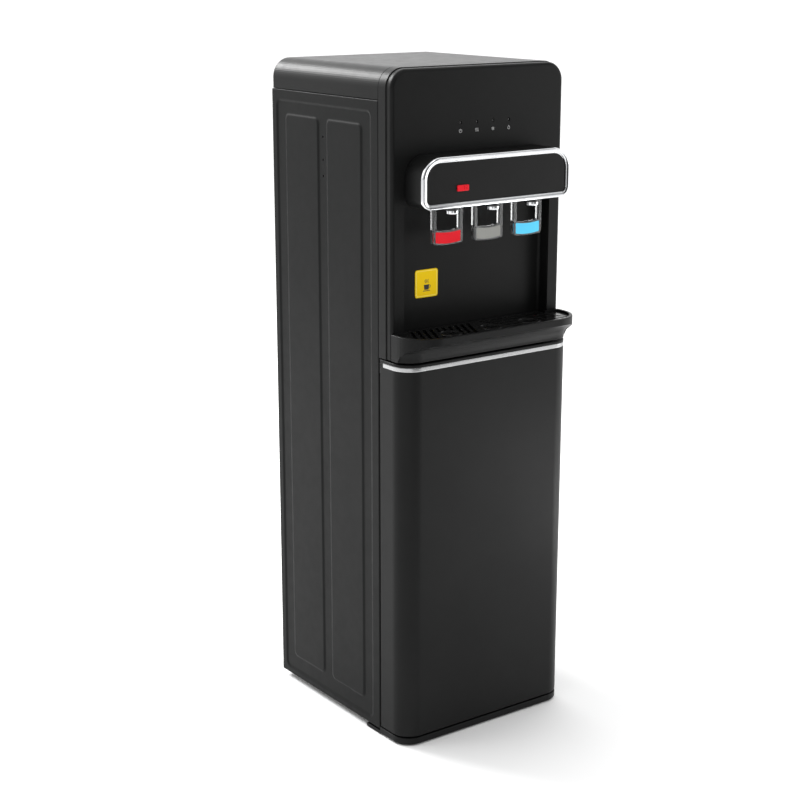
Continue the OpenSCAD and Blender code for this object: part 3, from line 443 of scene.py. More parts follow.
def settle(obj):
    """Makes an object's modifiers part of its mesh."""
    bpy.context.view_layer.update()
    evaluated = obj.evaluated_get(bpy.context.evaluated_depsgraph_get())
    mesh = bpy.data.meshes.new_from_object(evaluated)
    obj.modifiers.clear()
    old = obj.data
    obj.data = mesh
    bpy.data.meshes.remove(old)


def flat_groups(bm):
    """Number of the flat group that each face belongs to, and the area of each group."""
    bm.faces.ensure_lookup_table()
    group = [-1] * len(bm.faces)
    areas = []
    for face in bm.faces:
        if group[face.index] >= 0:
            continue
        group[face.index], stack, area = len(areas), [face], 0.0
        while stack:
            current = stack.pop()
            area += current.calc_area()
            for edge in current.edges:
                for other in edge.link_faces:
                    if group[other.index] < 0 and other.normal.dot(current.normal) > 0.99999:
                        group[other.index] = len(areas)
                        stack.append(other)
        areas.append(area)
    return group, areas


def even_shading(mesh):
    """Smooth normals that leave every broad flat face truly flat."""
    bm = bmesh.new()
    bm.from_mesh(mesh)
    group, areas = flat_groups(bm)
    least = math.cos(math.radians(50))
    broad_area = 150 * MM * MM
    normals = []
    for face in bm.faces:
        broad = areas[group[face.index]] > broad_area
        for loop in face.loops:
            total = Vector()
            if not broad:
                for other in loop.vert.link_faces:
                    if other.normal.dot(face.normal) > least:
                        total += other.normal * areas[group[other.index]]
            normals.append(total.normalized() if total.length > 0 else face.normal.copy())
    bm.free()
    mesh.shade_smooth()
    mesh.normals_split_custom_set(normals)


def combine(obj, shape, operation):
    other = raw_object("cutter", shape)
    step = obj.modifiers.new("combine", "BOOLEAN")
    step.operation = operation
    step.solver = "EXACT"
    step.use_self = True
    step.object = other
    settle(obj)
    mesh = other.data
    bpy.data.objects.remove(other)
    bpy.data.meshes.remove(mesh)


def dress(obj, body, material, replaces=()):
    """Gives a piece its material, the CAD nodes that it stands for and its body."""
    obj.data.materials.clear()
    obj.data.materials.append(MATERIALS[material])
    for node in replaces:
        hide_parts(node)
    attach(obj, body)


def finish(obj, body, material, replaces=(), edge=0.0, angle=35, segments=2, slot=None):
    """Rounds a piece's edges, shades it evenly and dresses it."""
    if edge:
        bevel = obj.modifiers.new("edges", "BEVEL")
        bevel.width = edge
        bevel.segments = segments
        bevel.limit_method = "ANGLE"
        bevel.angle_limit = math.radians(angle)
        settle(obj)
    even_shading(obj.data)
    dress(obj, body, material, replaces)


def piece(name, shape, body, material, replaces=(), cut=None, join=None, **look):
    """Finished piece from a shape, with another joined on or cut away."""
    obj = raw_object(name, shape)
    if join:
        combine(obj, join, "UNION")
    if cut:
        combine(obj, cut, "DIFFERENCE")
    finish(obj, body, material, replaces, **look)


# ---------- camera, lights and floor ----------

def make_camera():
    camera = bpy.data.objects.new("camera", bpy.data.cameras.new("camera"))
    camera.data.lens = 74.5
    camera.data.sensor_width = 36
    camera.data.clip_end = 400
    camera.location = (-1.568, -2.094, 1.212)
    turn, down = 0.6259, 0.2618
    forward = Vector((math.sin(turn) * math.cos(down), math.cos(turn) * math.cos(down), -math.sin(down)))
    camera.rotation_euler = forward.to_track_quat("-Z", "Y").to_euler()
    bpy.context.scene.collection.objects.link(camera)
    bpy.context.scene.camera = camera


def make_light(name, place, target, size, power):
    light = bpy.data.lights.new(name, "AREA")
    light.shape = "RECTANGLE"
    light.size, light.size_y = size
    light.energy = power
    obj = bpy.data.objects.new(name, light)
    obj.location = place
    obj.rotation_euler = (Vector(target) - Vector(place)).to_track_quat("-Z", "Y").to_euler()
    obj.visible_camera = False
    bpy.context.scene.collection.objects.link(obj)


def make_world():
    """Pale dome, brighter towards the upper rear."""
    world = bpy.data.worlds.new("studio")
    world.use_nodes = True
    tree = world.node_tree
    facing = tree.nodes.new("ShaderNodeVectorMath")
    facing.operation = "DOT_PRODUCT"
    facing.inputs[1].default_value = Vector((0.1, 0.8, 0.6)).normalized()
    tree.links.new(tree.nodes.new("ShaderNodeTexCoord").outputs["Generated"], facing.inputs[0])
    level = tree.nodes.new("ShaderNodeMapRange")
    for key, value in (("From Min", 0.0), ("From Max", 1.0), ("To Min", 0.5), ("To Max", 2.1)):
        level.inputs[key].default_value = value
    tree.links.new(facing.outputs["Value"], level.inputs["Value"])
    tree.nodes["Background"].inputs["Color"].default_value = (1, 1, 1, 1)
    tree.links.new(level.outputs["Result"], tree.nodes["Background"].inputs["Strength"])
    bpy.context.scene.world = world


def stage_piece(name, shape, cloud, dark, light, **shader):
    """Matt, faintly cloudy piece of the studio."""
    obj = raw_object(name, shape)
    n = Nodes(name)
    n.link(n.mix(cloud(n), grey(dark), grey(light)), n.shader.inputs["Base Color"])
    n.set(Roughness=0.9, **shader)
    obj.data.materials.append(n.material)
    return obj


def make_studio():
    bpy.context.scene.view_settings.view_transform = "Standard"
    make_world()
    make_light("key_left", (-1.0, 2.9, 2.7), (0, 0, 0.8), (1.5, 0.9), 125)
    make_light("side_left", (-2.8, 1.4, 2.0), (0, 0, 0.6), (1.2, 1.6), 9)
    make_light("fill_right", (2.7, -1.6, 0.5), (0, 0, 0.4), (1.6, 2.4), 24)
    make_light("low_front", (0.82, -0.62, 0.03), (0, -0.2, 0.5), (0.5, 0.3), 3.2)
    make_light("front_top", (0.2, -2.0, 2.6), (0, 0, 0.8), (1.0, 1.0), 8)

    # Black card in front, which shows in reflections alone
    card = stage_piece("card_front", Shape().block((-1.0, -2.45, 0.02), (1.6, -2.4, 1.9)),
                       lambda n: n.noise(3.0), 0.01, 0.02)
    card.visible_camera = False
    card.visible_shadow = False
    card.visible_diffuse = False

    reach = 150
    floor = Shape().prism(box_outline(-reach, reach, -reach, reach, (1, 1, 1, 1), steps=2), plan, -0.02, 0)
    stage_piece("studio_floor", floor, lambda n: n.spread(n.noise(1.3, 2.0), 0, 1), 0.93, 0.95,
                Specular_IOR_Level=0.1)


make_camera()
make_studio()


# ---------- side panels: a sunk frame round two raised fields, with rolled edges ----------

panel_z0, panel_z1 = side_low.z, side_high.z
panel_mid = (y_seam + y_back) / 2 + 2.5 * MM
sunk_frame = (y_seam + 18 * MM, y_back - 12 * MM, panel_z0 + 9.5 * MM, panel_z1 - 14.6 * MM)
raised_fields = [(panel_mid + s * 58.5 * MM - 49 * MM, panel_mid + s * 58.5 * MM + 49 * MM,
                  panel_z0 + 36.5 * MM, panel_z1 - 35.6 * MM) for s in (-1, 1)]
panel_holes = [z * MM for z in (884, 909, 944)]
panel_roll = 1.8 * MM


def smooth_step(t):
    t = min(max(t, 0.0), 1.0)
    return t * t * (3 - 2 * t)


def inside_depth(y, z, box, r):
    """How far a point lies inside a round-cornered rectangle (negative outside)."""
    y0, y1, z0, z1 = box
    dy = abs(y - (y0 + y1) / 2) - ((y1 - y0) / 2 - r)
    dz = abs(z - (z0 + z1) / 2) - ((z1 - z0) / 2 - r)
    outside = math.hypot(max(dy, 0), max(dz, 0))
    return r - outside - min(max(dy, dz), 0)


def panel_sink(y, z):
    """How far the sheet lies below the cabinet's side plane."""
    slope, depth = 5 * MM, 1.6 * MM
    down = smooth_step(inside_depth(y, z, sunk_frame, 12 * MM) / slope)
    raised = max(smooth_step(inside_depth(y, z, field, 11 * MM) / slope) for field in raised_fields)
    value = depth * down * (1 - raised)
    for gap in (y - y_seam, y_back - y, z - panel_z0, panel_z1 - z):
        if gap < panel_roll:
            value += panel_roll - math.sqrt(max(panel_roll ** 2 - (panel_roll - gap) ** 2, 0))
    return value


def graded(low, high, edges, fine, coarse, reach):
    """Grid lines from low to high, fine near the edges and coarse elsewhere."""
    lines, at = [low], low
    while at < high - 1e-9:
        near = min(abs(at - e) for e in edges) < reach + 0.01 * MM
        at = min(at + (fine if near else coarse), high)
        if not near:
            ahead = [e - reach for e in edges if lines[-1] < e - reach < at]
            at = min(ahead) if ahead else at
        lines.append(at)
    return lines


def spaced(lines, held, extra):
    """Grid lines with the held ones kept, and none of the others inside or close to a held pair."""
    out = list(held)
    pairs = list(zip(held[::2], held[1::2]))
    for line in sorted(set(lines) | set(extra)):
        apart = all(not low - 0.3 * MM < line < high + 0.3 * MM for low, high in pairs)
        if apart and all(abs(line - other) > 0.1 * MM for other in out):
            out.append(line)
    return sorted(out)


def panel_lines(low, high, slopes, coarse, held):
    """Grid lines across a panel, fine on its slopes and finer on its rolled edges."""
    roll_lines = (0.15 * MM, 0.5 * MM, 1.0 * MM)
    lines = graded(low, high, [low, high] + slopes, 1.25 * MM, coarse, 13 * MM)
    return spaced(lines, held, [low + g for g in roll_lines] + [high - g for g in roll_lines])


def holed_cell(sheet, quad, y, z, r):
    """Fills one grid cell round a round hole at (y, z)."""
    steps, first = 16, len(sheet.verts)
    x = sheet.verts[quad[0]][0]
    sheet.verts += [(x, v, w) for v, w in circle(y, z, r, steps)]
    order = [quad[2], quad[1], quad[0], quad[3]]
    for turn, corner in enumerate(order):
        for k in range(4 * turn, 4 * turn + 4):
            sheet.faces.append((corner, first + k % steps, first + (k + 1) % steps))
        sheet.faces.append((order[turn - 1], first + 4 * turn, corner))


def panel_sheet(side):
    hole_r, pad = 1.7 * MM, 2.6 * MM
    inner = 2 * MM
    y_slopes = [sunk_frame[0] + inner, sunk_frame[1] - inner]
    for field in raised_fields:
        y_slopes += [field[0] + inner, field[1] - inner]
    z_slopes = [sunk_frame[2] + inner, sunk_frame[3] - inner,
                raised_fields[0][2] + inner, raised_fields[0][3] - inner]
    ys = panel_lines(y_seam, y_back, y_slopes, 6 * MM, [panel_mid - pad, panel_mid + pad])
    zs = panel_lines(panel_z0, panel_z1, z_slopes, 14 * MM,
                     [z + s * pad for z in panel_holes for s in (-1, 1)])
    sheet = Shape()
    sheet.verts = [(side * (half_w - panel_sink(y, z)), y, z) for y in ys for z in zs]
    rows = len(zs)
    for i in range(len(ys) - 1):
        for j in range(rows - 1):
            a = i * rows + j
            quad = (a, a + 1, a + rows + 1, a + rows)
            hole = [z for z in panel_holes if ys[i] < panel_mid < ys[i + 1] and zs[j] < z < zs[j + 1]]
            if hole:
                holed_cell(sheet, quad, panel_mid, hole[0], hole_r)
            else:
                sheet.faces.append(quad)
    return sheet


def face_outward(mesh, side):
    bm = bmesh.new()
    bm.from_mesh(mesh)
    if side * sum(f.normal.x * f.calc_area() for f in bm.faces) < 0:
        bmesh.ops.reverse_faces(bm, faces=bm.faces)
    bm.to_mesh(mesh)
    bm.free()


def side_panel(side, name):
    obj = raw_object("side_" + name, panel_sheet(side))
    face_outward(obj.data, side)
    thick = obj.modifiers.new("thickness", "SOLIDIFY")
    thick.thickness = 0.9 * MM
    thick.offset = -1
    settle(obj)
    obj.data.shade_smooth()
    obj.data.set_sharp_from_angle(angle=math.radians(60))
    dress(obj, "cabinet", "charcoal_steel", ["side_panel_" + name])

    flanges = Shape()
    x0, x1 = sorted((side * (half_w - 1.2 * MM), side * (half_w - 12 * MM)))
    for y, top in ((y_seam + 7 * MM, bezel_low.z - 25 * MM), (y_back - 3.5 * MM, panel_z1 - 2 * MM)):
        flanges.block((x0, y, panel_z0 + 2 * MM), (x1, y + 1.2 * MM, top))
    piece("side_flanges_" + name, flanges, "cabinet", "charcoal_steel", edge=0.3 * MM)


side_panel(-1, "left")
side_panel(1, "right")


# ---------- top cover ----------

def top_cover():
    z0, z1 = cover_low.z, cover_high.z
    y0, y1 = cover_low.y, cover_high.y
    rear_r = 7 * MM

    def ring(inset, y, low=z0):
        r = top_r - inset
        outline = box_outline(-half_w + inset, half_w - inset, low, z1 - inset, (0, 0, r, r), steps=16)
        return [front(p, y) for p in outline]

    rings = [ring(0.5 * MM, y0), ring(0, y0 + 0.5 * MM)]
    rings += [ring(0, y0 + (y1 - rear_r - y0) * k / 4) for k in (1, 2, 3, 4)]
    rings += [ring(i, y1 - d) for i, d in quarter(rear_r, 6)[1:]]
    shell = Shape().loft(rings)
    below, slant = z0 - 20 * MM, 4 * MM
    hollow = Shape().loft([ring(wall, y0 - MM, below), ring(wall, y1 - wall - slant, below),
                           ring(wall + slant, y1 - wall, below)])
    piece("cover_shell", shell, "cabinet", "charcoal_plastic", ["top_cover"], cut=hollow,
          edge=0.7 * MM, angle=40)
    ledge = Shape().block((-half_w + 3 * MM, back_high.y - 25 * MM, z0),
                          (half_w - 3 * MM, y1 - 3 * MM, z0 + 2.4 * MM))
    piece("cover_ledge", ledge, "cabinet", "charcoal_plastic", edge=0.4 * MM)


top_cover()


# ---------- bezel, lamps and recess ----------

def lamp_places():
    """Centres of the four lamps: their CAD solids lie apart along X."""
    low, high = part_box("indicator_lamps")
    first, last, z = low.x + 3.6 * MM, high.x - 3.6 * MM, (low.z + high.z) / 2
    return [(first + (last - first) * k / 3, z) for k in range(4)]


def bezel():
    """Front face with a rounded nose, a step behind it, and openings for recess, hoses and lamps."""
    z0, z1 = bezel_low.z, bezel_high.z
    y_rear = bezel_high.y
    nose, step = 5.5 * MM, 1.5 * MM

    def ring(inset, y):
        """Inset at the sides and top only, so that the lower edge stays level."""
        lower, upper = 0.6 * MM, top_r - inset
        outline = box_outline(-half_w + inset, half_w - inset, z0, z1 - inset,
                              (lower, lower, upper, upper), steps=16)
        return [front(p, y) for p in outline]

    rings = [ring(0.5 * MM, y_rear), ring(0, y_rear - 0.5 * MM), ring(0, y_step + 1.2 * MM)]
    rings += [ring(i, y_step + d) for i, d in quarter(1.2 * MM, 3)[1:]]
    rings += [ring(step, y_step - 0.1 * MM), ring(step, y_face + nose)]
    rings += [ring(step + i, y_face + d) for i, d in quarter(nose, 7)[1:]]
    inner = wall + step
    cut = Shape().prism(
        box_outline(-half_w + inner, half_w - inner, z0 + 3 * MM, z1 - inner,
                    (0, 0, top_r - inner, top_r - inner), steps=16), front, y_face + 3 * MM, y_rear + MM)
    before, behind = y_face - MM, y_face + 3.5 * MM
    hose_hw, hose_z0, hose_z1 = 110 * MM, 890 * MM, 917 * MM
    cut.block((-recess_hw, before, recess_z0), (recess_hw, behind, recess_z1))
    cut.block((-hose_hw, before, hose_z0), (hose_hw, behind, hose_z1))
    for x, z in lamp_places():
        cut.prism(circle(x, z, 2.8 * MM), front, before, behind)
    piece("bezel_shell", Shape().loft(rings), "cabinet", "charcoal_plastic", ["front_bezel"], cut=cut,
          edge=0.6 * MM, angle=42, segments=3)


def lamps():
    """Domed lenses on wider flanges, a little sunk in the face."""
    lens_r, flange_r, rise = 2.5 * MM, 3.6 * MM, 1.0 * MM
    angles = [math.radians(a) for a in (0, 20, 40, 60, 75)]
    dome = [(lens_r * math.cos(a), -rise * math.sin(a)) for a in angles]
    flange = [(flange_r, 9 * MM), (flange_r, 2.1 * MM), (lens_r, 2 * MM)]
    lens = Shape()
    for x, z in lamp_places():
        lens.lathe(flange + dome + [(0.1 * MM, -rise)], (x, y_face + 1.9 * MM, z), "Y", 24)
    piece("lamp_lenses", lens, "cabinet", "lamp_clear", ["indicator_lamps"])


def recess_liner():
    z0, z1 = liner_low.z, liner_high.z
    y0, y1 = liner_low.y, recess_back
    r, thick = 5 * MM, 2 * MM
    outer = recess_hw + thick
    inner = ([(-recess_hw, y0)] + arc(-recess_hw + r, y1 - r, r, 180, -90, 6)
             + arc(recess_hw - r, y1 - r, r, 90, -90, 6) + [(recess_hw, y0)])
    outline = inner + [(outer, y0), (outer, y1 + thick), (-outer, y1 + thick), (-outer, y0)]
    walls = Shape().prism(outline, plan, z0, z1 - 2.2 * MM)
    roof = Shape().block((-outer, y0, z1 - 2.1 * MM), (outer, y1 + thick, z1))
    piece("recess_walls", walls, "cabinet", "charcoal_plastic", ["recess_liner"], edge=0.3 * MM, angle=60)
    piece("recess_roof", roof, "cabinet", "charcoal_plastic", edge=0.3 * MM)


bezel()
lamps()
recess_liner()


# ---------- small prints ----------

def stroke(shape, route, width, y, closed=False):
    """Printed line of even width along 2-D points on a front-facing surface."""
    thick = 0.12 * MM
    points = [Vector(p) for p in route]
    count = len(points)
    left, right = [], []
    for k, p in enumerate(points):
        ahead = points[(k + 1) % count] if closed or k < count - 1 else p
        behind = points[k - 1] if closed or k else p
        along = (ahead - behind).normalized()
        across = Vector((-along.y, along.x)) * width / 2
        left.append(p + across)
        right.append(p - across)
    for k in range(count if closed else count - 1):
        m = (k + 1) % count
        shape.prism([left[k], right[k], right[m], left[m]], front, y - thick, y)


def spoke(x, z, length, degrees):
    """Point at a length and an angle from (x, z)."""
    return (x + length * math.cos(math.radians(degrees)), z + length * math.sin(math.radians(degrees)))


def power_sign(signs, x, z, size, line):
    stroke(signs, [spoke(x, z, size, 90 - a) for a in range(40, 321, 14)], line, y_face)
    stroke(signs, [(x, z + 0.2 * MM), (x, z + size * 1.15)], line, y_face)


def warm_sign(signs, x, z, size, line):
    for dx in (-2.2 * MM, 0, 2.2 * MM):
        wave = [(x + dx + 0.6 * MM * math.sin(t * math.pi / 4), z - size + size * t / 4) for t in range(9)]
        stroke(signs, wave, line, y_face)


def snow_sign(signs, x, z, size, line):
    for a in (0, 60, 120):
        stroke(signs, [spoke(x, z, -size, a + 30), spoke(x, z, size, a + 30)], line, y_face)
        for s in (-1, 1):
            fork = spoke(x, z, s * size * 0.62, a + 30)
            for b in (a - 10, a + 70):
                stroke(signs, [fork, spoke(*fork, s * size * 0.35, b)], line * 0.8, y_face)


def drop_sign(signs, x, z, size, line):
    drop = []
    for k in range(20):
        a = 2 * math.pi * k / 20
        pull = max(math.cos(a), 0) ** 3
        drop.append((x + size * 0.72 * math.sin(a) * (1 - 0.55 * pull),
                     z - 0.5 * MM + size * 0.8 * math.cos(a) + size * 0.5 * pull))
    stroke(signs, drop, line, y_face, closed=True)


def lamp_signs():
    """Generic signs under the lamps."""
    signs = Shape()
    for (x, z), sign in zip(lamp_places(), (power_sign, warm_sign, snow_sign, drop_sign)):
        sign(signs, x, z - 12.3 * MM, 2.6 * MM, 0.55 * MM)
    piece("lamp_signs", signs, "cabinet", "print_white", slot="charcoal_plastic")


def caution_label():
    """Yellow plate with a pale border and a generic steaming cup."""
    x, z = middle(label_low, label_high)
    y1, y0 = label_high.y, label_low.y
    radii = (4 * MM,) * 4

    def outline(inset, steps):
        return box_outline(label_low.x, label_high.x, label_low.z, label_high.z, radii, inset, steps)

    def ring(inset, y):
        return [front(p, y) for p in outline(inset, 8)]

    plate = Shape().loft([ring(0, y1), ring(0, y0 + 0.35 * MM), ring(0.1 * MM, y0 + 0.1 * MM),
                          ring(0.35 * MM, y0)])
    piece("caution_label", plate, "cabinet", "yellow_label", ["caution_plate"])

    border = Shape()
    stroke(border, outline(2.2 * MM, 6), 0.9 * MM, y0, closed=True)
    piece("caution_border", border, "cabinet", "print_pale", slot="yellow_label")

    sign = Shape()
    cup_z = z - 6 * MM
    cup = [(x + u, cup_z + v) for u, v in scaled([(-5, 4), (-4, -4), (4, -4), (5, 4)])]
    sign.prism(cup, front, y0 - 0.12 * MM, y0)
    turns = [math.radians(a) for a in range(0, 181, 20)]
    handle = [(x + 4.6 * MM + 2.6 * MM * math.sin(a), cup_z + MM + 2.2 * MM * math.cos(a)) for a in turns]
    stroke(sign, handle, MM, y0)
    stroke(sign, [(x + s * 6.5 * MM, cup_z - 5.6 * MM) for s in (-1, 1)], 1.1 * MM, y0)
    for dx in (-2.6 * MM, 0, 2.6 * MM):
        steam = [(x + dx + 0.7 * MM * math.sin(t * math.pi / 3), cup_z + 6.2 * MM + 6 * MM * t / 8)
                 for t in range(9)]
        stroke(sign, steam, 0.8 * MM, y0)
    piece("caution_sign", sign, "cabinet", "print_black", slot="yellow_label")


lamp_signs()
caution_label()


# ---------- tap head ----------

def head_points(inset, y, low=head_low, high=head_high, lower_r=14 * MM, upper_r=32 * MM):
    radii = (lower_r, lower_r, upper_r, upper_r)
    return [front(p, y) for p in box_outline(low.x, high.x, low.z, high.z, radii, inset, 14)]


def head_housing():
    """Hollow housing with a shadow gap at the bezel, slots for levers and spouts, and inner cheeks."""
    y0, y1 = head_low.y, head_high.y
    gap, gap_depth = 1.7 * MM, 1.5 * MM
    shell = Shape().loft([head_points(i, y) for i, y in (
        (0.4 * MM, y0), (0, y0 + 0.4 * MM), (0, y1 - gap - 0.3 * MM), (0.3 * MM, y1 - gap),
        (gap_depth, y1 - gap), (gap_depth, y1))])
    hollow = Shape().loft([head_points(wall, y0 - MM), head_points(wall, y1 + MM)])
    lever_low, lever_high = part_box("lever_hot")
    half_lever = (lever_high.x - lever_low.x) / 2
    below, inside = head_low.z - MM, head_low.z + wall
    spout_hole = 11.5 * MM
    slots = Shape()
    for x in lever_places():
        slots.block((x - half_lever - MM, lever_low.y - 1.5 * MM, below),
                    (x + half_lever + MM, y_face - 5 * MM, inside + 1.2 * MM))
        slots.prism(circle(x, spout_y, spout_hole, 32), plan, below, inside + 1.1 * MM)
    piece("head_shell", shell, "cabinet", "charcoal_plastic", ["head_housing"],
          cut=merge(hollow, slots), edge=0.3 * MM, angle=50)

    cheek, cheek_top = 1.2 * MM, 889 * MM
    cheeks = Shape()
    for x in lever_places():
        for s in (-1, 1):
            cx = x + s * (half_lever + 3 * MM)
            cheeks.block((cx - cheek, y0 + 8 * MM, head_low.z + 2 * MM),
                         (cx + cheek, y1 - 0.3 * MM, cheek_top))
    piece("head_cheeks", cheeks, "cabinet", "charcoal_plastic", edge=0.3 * MM)


def head_ring():
    """Chromed trim: rounded outside, broad sloping face and a fine inner step."""
    near, rear = ring_low.y, ring_high.y
    section = scaled([(0, 2.4), (0.35, 1.2), (1.1, 0.4), (2.2, 0), (4.2, 0.15), (6.0, 0.75), (6.5, 1.15),
                      (6.6, 1.7), (7.3, 1.75), (8.1, 1.95), (8.15, 3)])
    rings = [(0, rear)] + [(inset, near + depth) for inset, depth in section] + [(8.15 * MM, rear)]
    trim = Shape().loft([head_points(i, y, ring_low, ring_high, 15 * MM, 33 * MM) for i, y in rings],
                        looped=True)
    piece("head_trim", trim, "cabinet", "bright_chrome", ["head_ring"])


def head_plate():
    """Front plate with the slider's slot."""
    inset = 0.75 * MM
    near, rear = plate_low.y, plate_high.y
    rings = [(inset, rear), (inset, near + 0.5 * MM), (inset + 0.15 * MM, near + 0.15 * MM),
             (inset + 0.5 * MM, near)]
    plate = Shape().loft([head_points(i, y, plate_low, plate_high, 6.6 * MM, 24.6 * MM) for i, y in rings])
    cx, cz = middle(lock_low, lock_high)
    hw, hh, travel = 5.3 * MM, 3.3 * MM, 6 * MM
    slot = Shape().block((cx - hw, near - MM, cz - hh), (cx + hw + travel, rear + MM, cz + hh))
    piece("head_face", plate, "cabinet", "black_plate", ["head_plate"], cut=slot, edge=0.25 * MM, angle=50)


def lock_slider():
    """Red cap with two ribs in front of the plate, and its neck and keeper behind."""
    cx, cz = middle(lock_low, lock_high)
    cap_back, cap_front = plate_low.y - 0.2 * MM, lock_low.y + 0.7 * MM
    keeper = lock_high.y

    def ring(x, hw, hh, r, inset, y, steps):
        return [front(p, y) for p in box_outline(x - hw, x + hw, cz - hh, cz + hh, (r,) * 4, inset, steps)]

    cap = Shape().loft([ring(cx, 10.75 * MM, 4.5 * MM, 1.4 * MM, i, y, 6) for i, y in (
        (0, cap_back), (0, cap_front + 0.6 * MM), (0.2 * MM, cap_front + 0.2 * MM), (0.7 * MM, cap_front))])
    neck = Shape().block((cx - 5 * MM, cap_back - 0.3 * MM, cz - 3 * MM),
                         (cx + 5 * MM, keeper - 0.3 * MM, cz + 3 * MM))
    neck.block((cx - 9 * MM, keeper - 1.5 * MM, cz - 7 * MM), (cx + 9 * MM, keeper, cz + 7 * MM))
    piece("lock_cap", cap, "lock", "red_plastic", ["lock_slider"])
    piece("lock_keeper", neck, "lock", "red_plastic", edge=0.2 * MM)
    ribs = Shape()
    for dx in (2.5 * MM, 7.5 * MM):
        ribs.loft([ring(cx + dx, 0.8 * MM, 3.2 * MM, 0.8 * MM, i, y, 5) for i, y in (
            (0, cap_front + 0.2 * MM), (0.1 * MM, lock_low.y + 0.3 * MM), (0.45 * MM, lock_low.y))])
    piece("lock_ribs", ribs, "lock", "red_plastic")


head_housing()
head_ring()
head_plate()
lock_slider()


# ---------- levers and taps ----------

def lever_hub(x, half, arm, y0, pivot):
    """Two ears with round ends on the lever's pin."""
    hub = Shape()
    for s in (-1, 1):
        ear = x + s * (half - arm / 2)
        hub.block((ear - arm / 2 + 0.01 * MM, y0 + 0.5 * MM, pivot.z - 6 * MM),
                  (ear + arm / 2 - 0.01 * MM, pivot.y + MM, pivot.z + 5 * MM))
        reach = arm / 2 - 0.02 * MM
        hub.lathe([(6 * MM, -reach), (6 * MM, reach)], (ear, pivot.y, pivot.z), "X", 24)
    return hub


def lever(tap, x):
    """Clear lever with a window, a hub on the pin, and a coloured insert let into its lower part."""
    low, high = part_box("lever_" + tap)
    half = (high.x - low.x) / 2
    y0, y1 = low.y, low.y + 8 * MM
    pivot = pivot_of(tap + "_lever_press")
    sag, arm = 2.2 * MM, 5.5 * MM
    z0 = low.z + sag

    body = Shape().prism(banner_outline(x, half, z0, pivot.z + 2 * MM, sag, 4 * MM), front, y0, y1)
    window = banner_outline(x, half - arm, z0 + 21 * MM, pivot.z + 30 * MM, sag, 1.2 * MM)
    cut = Shape().prism(window, front, y0 - MM, y1 + MM)
    pocket = banner_outline(x, half - 4 * MM, z0 + 2 * MM, z0 + 18.8 * MM, sag, 1.5 * MM)
    cut.prism(pocket, front, y0 - MM, y0 + 4.7 * MM)
    bore = Shape().lathe([(2.1 * MM, -40 * MM), (2.1 * MM, 40 * MM)], (x, pivot.y, pivot.z), "X", 24)
    obj = raw_object("lever_" + tap + "_clear", body)
    combine(obj, cut, "DIFFERENCE")
    combine(obj, lever_hub(x, half, arm, y0, pivot), "UNION")
    combine(obj, bore, "DIFFERENCE")
    finish(obj, tap + "_lever", "clear_acrylic", ["lever_" + tap], edge=0.9 * MM, angle=50, segments=3)

    colour = {"hot": "red_plastic", "normal": "grey_plastic", "cold": "blue_plastic"}[tap]
    outline = banner_outline(x, half - 4.1 * MM, z0 + 2.1 * MM, z0 + 18.7 * MM, sag, 1.5 * MM)
    chip = Shape().prism(outline, front, y0 + 0.1 * MM, y0 + 4.6 * MM)
    piece("lever_" + tap + "_chip", chip, tap + "_lever", colour, ["insert_" + tap], edge=0.35 * MM, angle=50)


def inlet_height():
    """Height of the taps' hose barbs: the hot tap's rear face is its barb alone."""
    verts = frame["nodes"]["tap_hot"].data.vertices
    rear = max(v.co.y for v in verts)
    zs = [v.co.z for v in verts if v.co.y > rear - MM]
    return (min(zs) + max(zs)) / 2


TAP_SECTION = scaled([
    (6, 30), (6, 0.6), (6.5, 0), (7.6, 0), (8, 0.4), (8.3, 6), (10.4, 6.2), (10.9, 13.4), (10.6, 14),
    (8.5, 14.4), (8.5, 70.6), (8.1, 71), (6, 71), (6, 76.6), (5.6, 77)])
BARB_SECTION = scaled([
    (6, -9.5), (6, 20), (4.8, 20.4), (4.8, 22), (6, 22.4), (4.9, 25), (6, 25.4), (4.9, 26.6)])
COLLAR_SECTION = scaled([
    (8.5, 0.3), (9.0, 0.05), (9.4, 0.3), (9.9, 1.0), (10.2, 5.2), (9.9, 5.6), (8.5, 5.7)])


def tap_body(tap, x):
    """Tap with its spout and rear barb, and a bright fluted collar at the spout's tip."""
    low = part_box("tap_" + tap)[0]
    y, z0 = low.y + 9.5 * MM, low.z
    body = Shape().lathe(TAP_SECTION, (x, y, z0), "Z", 40)
    body.lathe(BARB_SECTION, (x, y, inlet_height()), "Y", 24)
    piece("tap_" + tap + "_body", body, "cabinet", "tap_plastic", ["tap_" + tap])
    collar = Shape().loft([[plan(p, z0 + h) for p in fluted(x, y, r)] for r, h in COLLAR_SECTION],
                          looped=True)
    piece("tap_" + tap + "_collar", collar, "cabinet", "bright_chrome")


for tap_name, tap_x in zip(TAPS, lever_places()):
    lever(tap_name, tap_x)
for tap_name, tap_x in zip(TAPS, lever_places()):
    tap_body(tap_name, tap_x)


# ---------- drip tray and grille ----------

